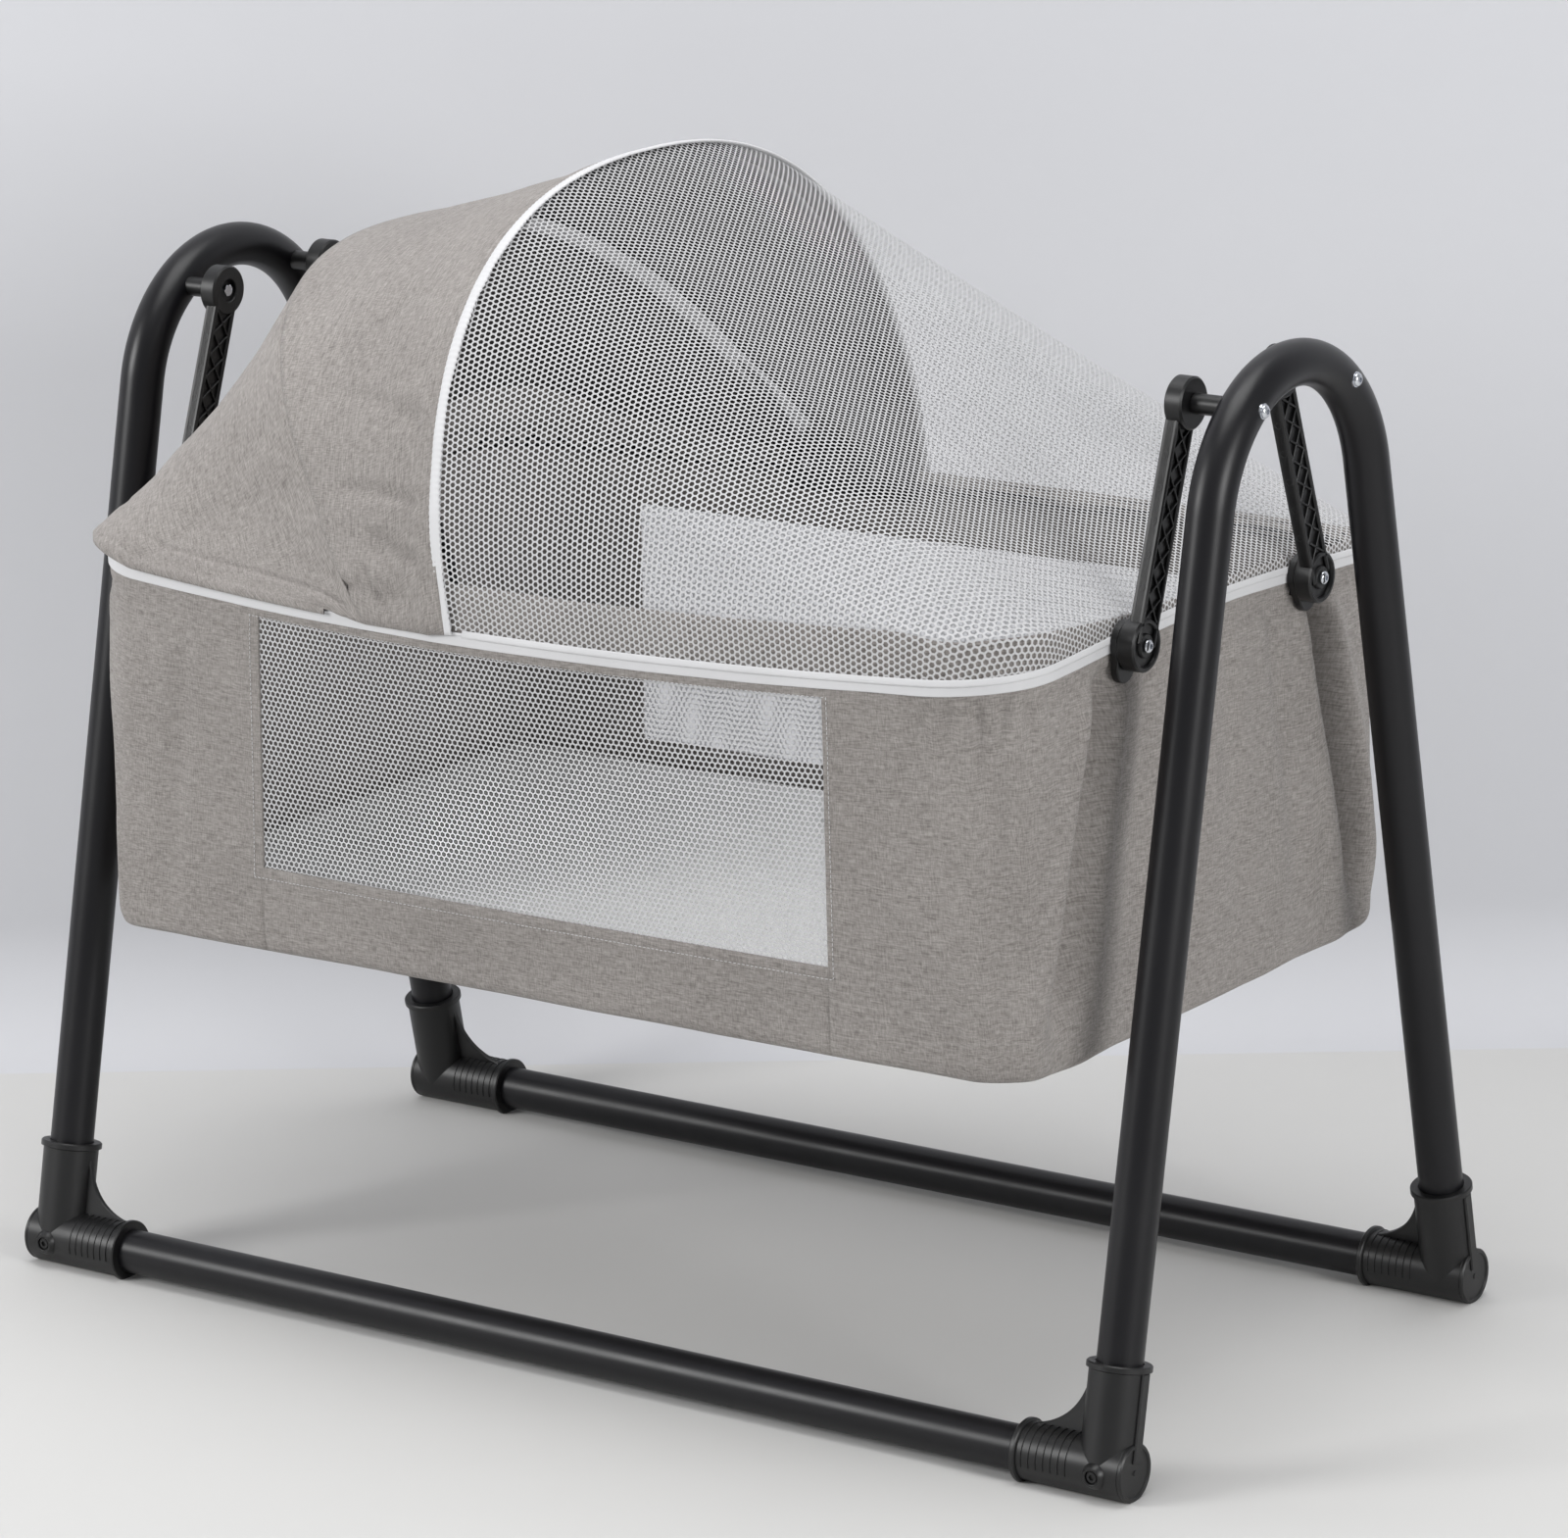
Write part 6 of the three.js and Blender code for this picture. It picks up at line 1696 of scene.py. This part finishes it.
class CribHood(bpy.types.Operator, CribPiece):
    """Stretches the hood over its two bows and zips the net cover to the rim"""

    bl_idname = "crib.hood"
    bl_label = "Hood and net cover"

    # Creases of the front panel: distances from its foot and hem at both ends, width, height in mm
    CREASES = (
        ((0.105, 0.014), (0.125, 0.110), 0.0052, -6.0),
        ((0.060, 0.014), (0.070, 0.080), 0.0044, -4.8),
        ((0.082, 0.074), (0.056, 0.018), 0.0040, -4.2),
        ((0.040, 0.120), (0.026, 0.040), 0.0040, -4.4),
        ((0.016, 0.062), (0.055, 0.084), 0.0032, -3.6),
        ((0.175, 0.030), (0.215, 0.150), 0.0080, -4.0),
    )

    # The front hem's reach past its bow and its rise over the cloth there, and the wire's radius
    HEM_REACH, HEM_RISE, WIRE = 17 * mm, 3.5 * mm, 4.5 * mm

    def make(self, shape):
        self.shape = shape
        self.bows()
        self.front()
        self.rear()
        self.tapes()
        self.cover()

    def bows(self):
        shape = self.shape
        for which, body in (("front", "hood_front"), ("rear", "basket")):
            bow = shape.bow(which)
            share = np.linspace(0, 1, 141)
            foot = shape.rim_half(-0.16) - 2 * 10.98 * mm - 0.3 * mm - 6.3 * mm - self.WIRE
            path = shape.bow_points(bow, share, foot, 24 * mm, 0.0)
            ends = [bow["pivot"] + (0, side * foot, 0) for side in (-1, 1)]
            path = np.concatenate([[ends[0]], path, [ends[1]]])
            obj = tube(f"bow_{which}", path, self.WIRE, 20)
            finish_piece(obj, body, "powder_coated_steel", [f"{which}_bow"])

    def sag_point(self, start, end, u, share, sag):
        """Rows between two lines that sag towards the middle of the basket."""
        point = start + (end - start) * u[..., None]
        _, y, z = np.moveaxis(point, -1, 0)
        inward = np.stack([0 * y, -y, self.shape.ba.rim_height - z], -1)
        inward /= np.maximum(np.linalg.norm(inward, axis=-1, keepdims=True), 1e-9)
        depth = sag * np.sin(math.pi * u) * np.sin(math.pi * share)
        return point + inward * depth[..., None]

    def front(self):
        """Front panel, from its hem over the front bow to the rear bow."""
        shape = self.shape
        share = np.linspace(0, 1, 221)
        hem = shape.hood_section("front", share, self.HEM_REACH, shape.over + self.HEM_RISE)
        over = shape.hood_section("front", share, 0.0, shape.over)
        rear = shape.hood_section("rear", share, 0.0, shape.over)
        rows = [hem + (over - hem) * t for t in np.linspace(0, 1, 9)[:-1]]
        grid_share = np.broadcast_to(share, (29, len(share)))
        u = np.broadcast_to(np.linspace(0, 1, 29)[:, None], grid_share.shape)
        rows = np.concatenate([np.array(rows), self.sag_point(over, rear, u, grid_share, 5 * mm)])
        uv, normal, outward = cloth_frame(rows, (-0.1, 0, 0.55))
        along, down = uv[..., 0], uv[..., 1]
        reach = down.max(0)[None] * np.ones_like(down)

        # Slack between the bows, ripples that fan out from the foot, and the creases
        t = np.clip((down - 0.02) / np.maximum(reach - 0.02, 0.02), 0, 1)
        inner = np.sin(math.pi * t) * (down > 0.02)
        slack = vertex_field(along, down, 31, 0.10, 0.05) * 2.4
        slack = slack + vertex_field(along + down, down, 32, 0.035, 0.03) * 0.9
        foot = 0.5 * np.ptp(along, axis=1)[:, None] - np.abs(along)
        fan = np.sin(foot / 0.0085 + 2.2 * vertex_field(along, down, 33, 0.05, 0.03) + down / 0.03)
        ripple = fan * smooth(foot, 0.01, 0.03) * (1 - smooth(foot, 0.06, 0.15)) * 1.5
        crease = sum(
            height * dent(foot, down, start, end, width) for start, end, width, height in self.CREASES
        )
        offset = ((slack + ripple) * inner + crease * smooth(down, 0.008, 0.030)) * mm
        offset = offset * smooth(foot, 0.002, 0.022)

        # The hem's second layer, and the ridge where the cloth lies on the bow
        hem_step = 0.5 * mm * (1 - smooth(down, 0.0105, 0.0125))
        bow_ridge = 1.2 * mm * np.exp(-(((down - 0.018) / 0.005) ** 2))
        rows = rows + normal * (offset + hem_step + bow_ridge)[..., None]
        obj = cloth_object("hood_front_cloth", rows, shape.ho.cloth, uv, outward)
        self.bending(obj)
        finish_piece(obj, None, "grey_fabric", ["hood_front_panel"])
        # The inner skin gets the painted shade of the hood's inside
        paint_inside_shade(obj, material_for("painted_inside_shade"))

    def bending(self, obj):
        """Bakes a cloth's transform into its mesh; the plane midway between the two bows is worked out but
        not used.
        """
        bow = self.shape.bow("front")
        rear = self.shape.bow("rear")
        middle = (bow["footward"] + rear["footward"]) / 2
        middle /= np.linalg.norm(middle)
        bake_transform(obj)

    def rear(self):
        """Rear panel, from the rear bow to a hem that hangs over the band round the head end."""
        shape = self.shape
        share, place = shape.hem_line(shape.ho.rear_x - 34 * mm, -1, 340)

        # The hem follows the rim, further out and higher round the corners
        nx, ny = place[:, 2], place[:, 3]
        start = shape.hood_section("rear", share, 0.0, shape.over)
        corner = np.abs(nx * ny) * 2
        end = nx**4
        out = shape.skirt_out + 10 * mm * corner - (4.4 + 0.3) * mm * end
        lift = (1 + 15 * corner + 2.5 * end) * mm
        hem = beside(place, out, lift)
        skirt_top = hem + (0, 0, 4.8 * mm)
        count = 60
        u = np.broadcast_to(np.linspace(0, 1, count)[:, None], (count, len(share)))
        grid_share = np.broadcast_to(share, u.shape)
        rows = self.sag_point(start, skirt_top, u, grid_share, 20 * mm)
        rows = np.concatenate([rows, [hem + (0, 0, 2.4 * mm), hem]])
        uv, normal, outward = cloth_frame(rows, (-0.25, 0, 0.6))
        down, along = uv[..., 1], uv[..., 0]
        reach = down.max(0)[None] * np.ones_like(down)

        # Slack, most of it midway between the bow and the hem
        t = down / np.maximum(reach, 0.01)
        inner = np.sin(math.pi * np.clip(t, 0, 1)) ** 0.7
        slack = vertex_field(along, down, 41, 0.09, 0.07) * 2.2
        slack = slack + vertex_field(along + 2 * down, down, 42, 0.03, 0.04) * 0.7

        # The facing runs from inside the panel down to the zip band
        facing = (rows + normal * -2.6 * mm)[-14]
        sewn = np.minimum(0.2 * mm, out - 2.6 * mm)
        zip_line = beside(place, sewn, 4.6 * mm)
        strip = np.array([facing + (zip_line - facing) * k for k in np.linspace(0, 1, 7)])

        # Slanting folds, and a line pressed in over the hem
        folds = np.sin((along * 0.55 - down * 0.9) / 0.016 + 2 * vertex_field(along, down, 43, 0.08, 0.08))
        line = np.exp(-(((down - reach + 0.022 + 0.02 * t) / 0.004) ** 2))
        low = -1.6 * line * smooth(np.abs(along), 0.18, 0.3)
        offset = ((slack + folds * 1.1 * smooth(t, 0.1, 0.8)) * inner + low) * mm
        hem_step = 0.6 * mm * smooth(reach - down, 0.0125, 0.0105)
        rows = rows + normal * (offset + hem_step)[..., None]
        obj = cloth_object("hood_rear_cloth", rows, shape.ho.cloth, uv, outward)
        finish_piece(obj, "basket", "grey_fabric", ["hood_rear_panel"])
        # The inner skin gets the painted shade of the hood's inside
        paint_inside_shade(obj, material_for("painted_inside_shade"))
        map_of = flat_uv(strip)
        obj = cloth_object("hood_facing", strip, 1.0 * mm, map_of, outward[:7])
        finish_piece(obj, "basket", "grey_fabric")

    def tapes(self):
        """White tape with a scalloped edge along the front hem, and plain tape under the rear bow."""
        shape = self.shape
        share = np.linspace(0, 1, 700)
        length = arc_lengths(shape.hood_section("front", share, 17 * mm, 11 * mm)[None], 1)[0]
        wave = 0.5 + 0.5 * np.cos(length / 0.0052 * 2 * math.pi)
        uneven = vertex_field(length, 0 * length, 51, 0.02, 1.0) * 0.5

        # Section of the hem's tape: reach past the bow and height over it in mm, share of the scallops
        rows = []
        for forward, rise, scallop in (
                (13.0, 11.2, -0.5), (14.6, 12.3, -0.3), (17.2, 12.7, 0.0), (19.6, 12.7, 0.4),
                (21.6, 12.3, 1.1), (22.8, 11.5, 1.5), (21.8, 10.7, 1.4), (19.6, 10.2, 0.5),
                (16.8, 9.9, 0.0)):
            reach = (forward + scallop * (wave + uneven)) * mm
            swell = (rise + 0.35 * wave * (rise > 12)) * mm
            rows.append(np.array([shape.hood_section("front", share[k], reach[k], swell[k])
                                  for k in range(len(share))]))
        rows = np.array(rows)
        obj = cloth_object("hood_hem_tape", rows, 0.5 * mm, flat_uv(rows), rows - np.array([-0.1, 0, 0.5]))
        finish_piece(obj, "hood_front", "white_tape")

        # The tape under the rear bow
        share = np.linspace(0.03, 0.97, 300)
        rows = np.array([shape.hood_section("rear", share, forward * mm, -5.2 * mm + 0 * share)
                         for forward in (-9, -5, 0, 5, 9)])
        obj = cloth_object("rear_bow_tape", rows, 0.8 * mm, flat_uv(rows), np.array([-0.1, 0, 0.5]) - rows)
        finish_piece(obj, "basket", "white_tape")
        reach = float(arc_lengths(rows[2][None], 1)[0, -1])

    def cover(self):
        """Net from the front hem of the hood to the zip round the foot end, in two halves."""
        shape = self.shape
        share, place = shape.hem_line(shape.ho.front_x + 34 * mm, 1, 200)
        x, y, nx, _, z = place.T
        start = shape.hood_section("front", share, 17.6 * mm, 11.2 * mm, 5.8 * mm)
        rise = np.minimum(shape.collar(x, y) + 3 * mm, np.maximum(start[:, 2] - z - 4 * mm, 0))
        rise = np.maximum(rise, (5.8 + 3 * np.abs(nx)) * mm)
        hem = beside(place, 0.6 * mm, rise)
        edge = beside(place, 1.2 * mm, 3.4 * mm)
        self.zip_tape(place)

        # Rows that sag between the hood's hem and the top of the collar, then go down to the band
        count = 64
        u = np.broadcast_to(np.linspace(0, 1, count)[:, None], (count, len(share)))
        grid_share = np.broadcast_to(share, u.shape)
        rows = self.sag_point(start, hem, u, grid_share, 8 * mm)
        rows = np.concatenate([rows, [hem + (edge - hem) * t for t in (0.15, 0.35, 0.6, 0.8, 1.0)]])
        u = np.concatenate([u, u[-5:] * 0 + 1])

        # Bunches near the hem of the hood, and slack
        reach = arc_lengths(rows, 0)
        along = np.broadcast_to(arc_lengths(rows[:1], 1), reach.shape)
        foot = np.minimum(along, along.max() - along)
        bunch = np.sin(along / 0.0052) * np.exp(-reach / 0.022) * np.exp(-foot / 0.09) * 1.6
        bunch = bunch + vertex_field(along, reach, 61, 0.05, 0.09) * 1.2 * np.sin(math.pi * u) ** 0.5
        rows = rows + grid_normals(rows) * (bunch * smooth(reach, 0.0, 0.008) * mm)[..., None]
        for half, side in enumerate(("near", "far")):
            faces = grid_faces(*rows.shape[:2])
            obj = mesh_object(f"net_cover_{side}", rows.reshape(-1, 3), faces, recalc=False, sharp=None)
            face_outwards(obj, Vector((0.2, 0, 0.3)))
            unfold(obj)
            size = netting(obj, shape.ba, half)
            bow = shape.bow("front")
            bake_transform(obj)
            finish_piece(obj, None, "white_net", ["net_cover"])

    def zip_tape(self, place):
        """White tape that holds the net's edge, from the zip band over the rim."""
        section = ((2.2, 2.0), (2.2, 3.8), (2.0, 5.4), (1.8, 6.8), (1.5, 8.0))
        rows = np.array([beside(place, out * mm, up * mm) for out, up in section])
        uv = flat_uv(rows)
        obj = cloth_object("net_zip_tape", rows, 0.7 * mm, uv, rows - np.array([0.2, 0, 0.3]))
        finish_piece(obj, "basket", "white_tape")


def unfold(obj):
    """Lays an open surface flat, keeping its angles, as the map "cut" in metres."""
    bpy.context.view_layer.objects.active = obj
    for other in bpy.context.selected_objects:
        other.select_set(False)
    obj.select_set(True)
    if "cut" not in obj.data.uv_layers:
        obj.data.uv_layers.new(name="cut")
    bpy.ops.object.mode_set(mode="EDIT")
    bpy.ops.mesh.select_all(action="SELECT")
    bpy.ops.uv.unwrap(method="ANGLE_BASED", margin=0.0)
    bpy.ops.object.mode_set(mode="OBJECT")
    mesh = obj.data
    layer = mesh.uv_layers["cut"]
    uv = np.zeros(len(mesh.loops) * 2)
    layer.data.foreach_get("uv", uv)
    uv = uv.reshape(-1, 2)
    index = np.zeros(len(mesh.loops), int)
    mesh.loops.foreach_get("vertex_index", index)
    flat_area, real_area = 0.0, 0.0
    for face in mesh.polygons:
        corner = uv[face.loop_start : face.loop_start + face.loop_total]
        after = np.roll(corner, -1, 0)
        flat_area += abs(np.sum(corner[:, 0] * after[:, 1] - after[:, 0] * corner[:, 1])) / 2
        real_area += face.area
    uv *= math.sqrt(real_area / flat_area)
    points = np.array([v.co for v in mesh.vertices])[index]
    spread = np.linalg.lstsq(np.c_[points[:, 0], np.ones(len(points))], uv, rcond=None)[0][0]
    turn = -math.atan2(spread[1], spread[0])
    uv = uv @ np.array([[math.cos(turn), math.sin(turn)], [-math.sin(turn), math.cos(turn)]])
    rise = np.linalg.lstsq(np.c_[points[:, 1], np.ones(len(points))], uv[:, 1], rcond=None)[0][0]
    uv[:, 1] *= math.copysign(1, rise)
    layer.data.foreach_set("uv", uv.ravel())


class CribHidden(bpy.types.Operator, CribPiece):
    """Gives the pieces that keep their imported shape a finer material"""

    bl_idname = "crib.hidden"
    bl_label = "Rim tube, board and brackets"

    def make(self, shape):
        kinds = {
            "rim_tube": "powder_coated_steel", "base_board": "board",
            "bow_bracket_near": "black_plastic", "bow_bracket_far": "black_plastic",
            "front_bow_pin_near": "zinc_steel", "front_bow_pin_far": "zinc_steel",
            "rear_bow_pin_near": "zinc_steel", "rear_bow_pin_far": "zinc_steel",
        }
        for name, kind in kinds.items():
            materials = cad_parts[name].data.materials
            materials.clear()
            materials.append(material_for(kind))


PIECES = (CribStage, CribFrames, CribFittings, CribArms, CribBasket, CribHood, CribHidden)
GROUPS = (
    (CribStandSizes, "crib_stand"),
    (CribArmSizes, "crib_arms"),
    (CribBasketSizes, "crib_basket"),
    (CribHoodSizes, "crib_hood"),
    (CribColours, "crib_colours"),
)


class CribPanel(bpy.types.Panel):
    """Sizes, colours and pieces of the crib"""

    bl_idname = "VIEW3D_PT_crib"
    bl_label = "Bedside crib"
    bl_space_type = "VIEW_3D"
    bl_region_type = "UI"
    bl_category = "Crib"

    def draw(self, context):
        for group, place in GROUPS:
            box = self.layout.box()
            box.label(text=place.replace("crib_", "").capitalize())
            for key in group.__annotations__:
                box.prop(getattr(context.scene, place), key)
        for piece in PIECES:
            self.layout.operator(piece.bl_idname)


def register():
    for group, place in GROUPS:
        bpy.utils.register_class(group)
        setattr(bpy.types.Scene, place, PointerProperty(type=group))
    for piece in (*PIECES, CribPanel):
        bpy.utils.register_class(piece)


def unregister():
    for piece in (*PIECES, CribPanel):
        bpy.utils.unregister_class(piece)
    for group, place in GROUPS:
        delattr(bpy.types.Scene, place)
        bpy.utils.unregister_class(group)


def main():
    register()
    for piece in PIECES:
        group, name = piece.bl_idname.split(".")
        getattr(getattr(bpy.ops, group), name)()


if __name__ == "__main__":
    main()
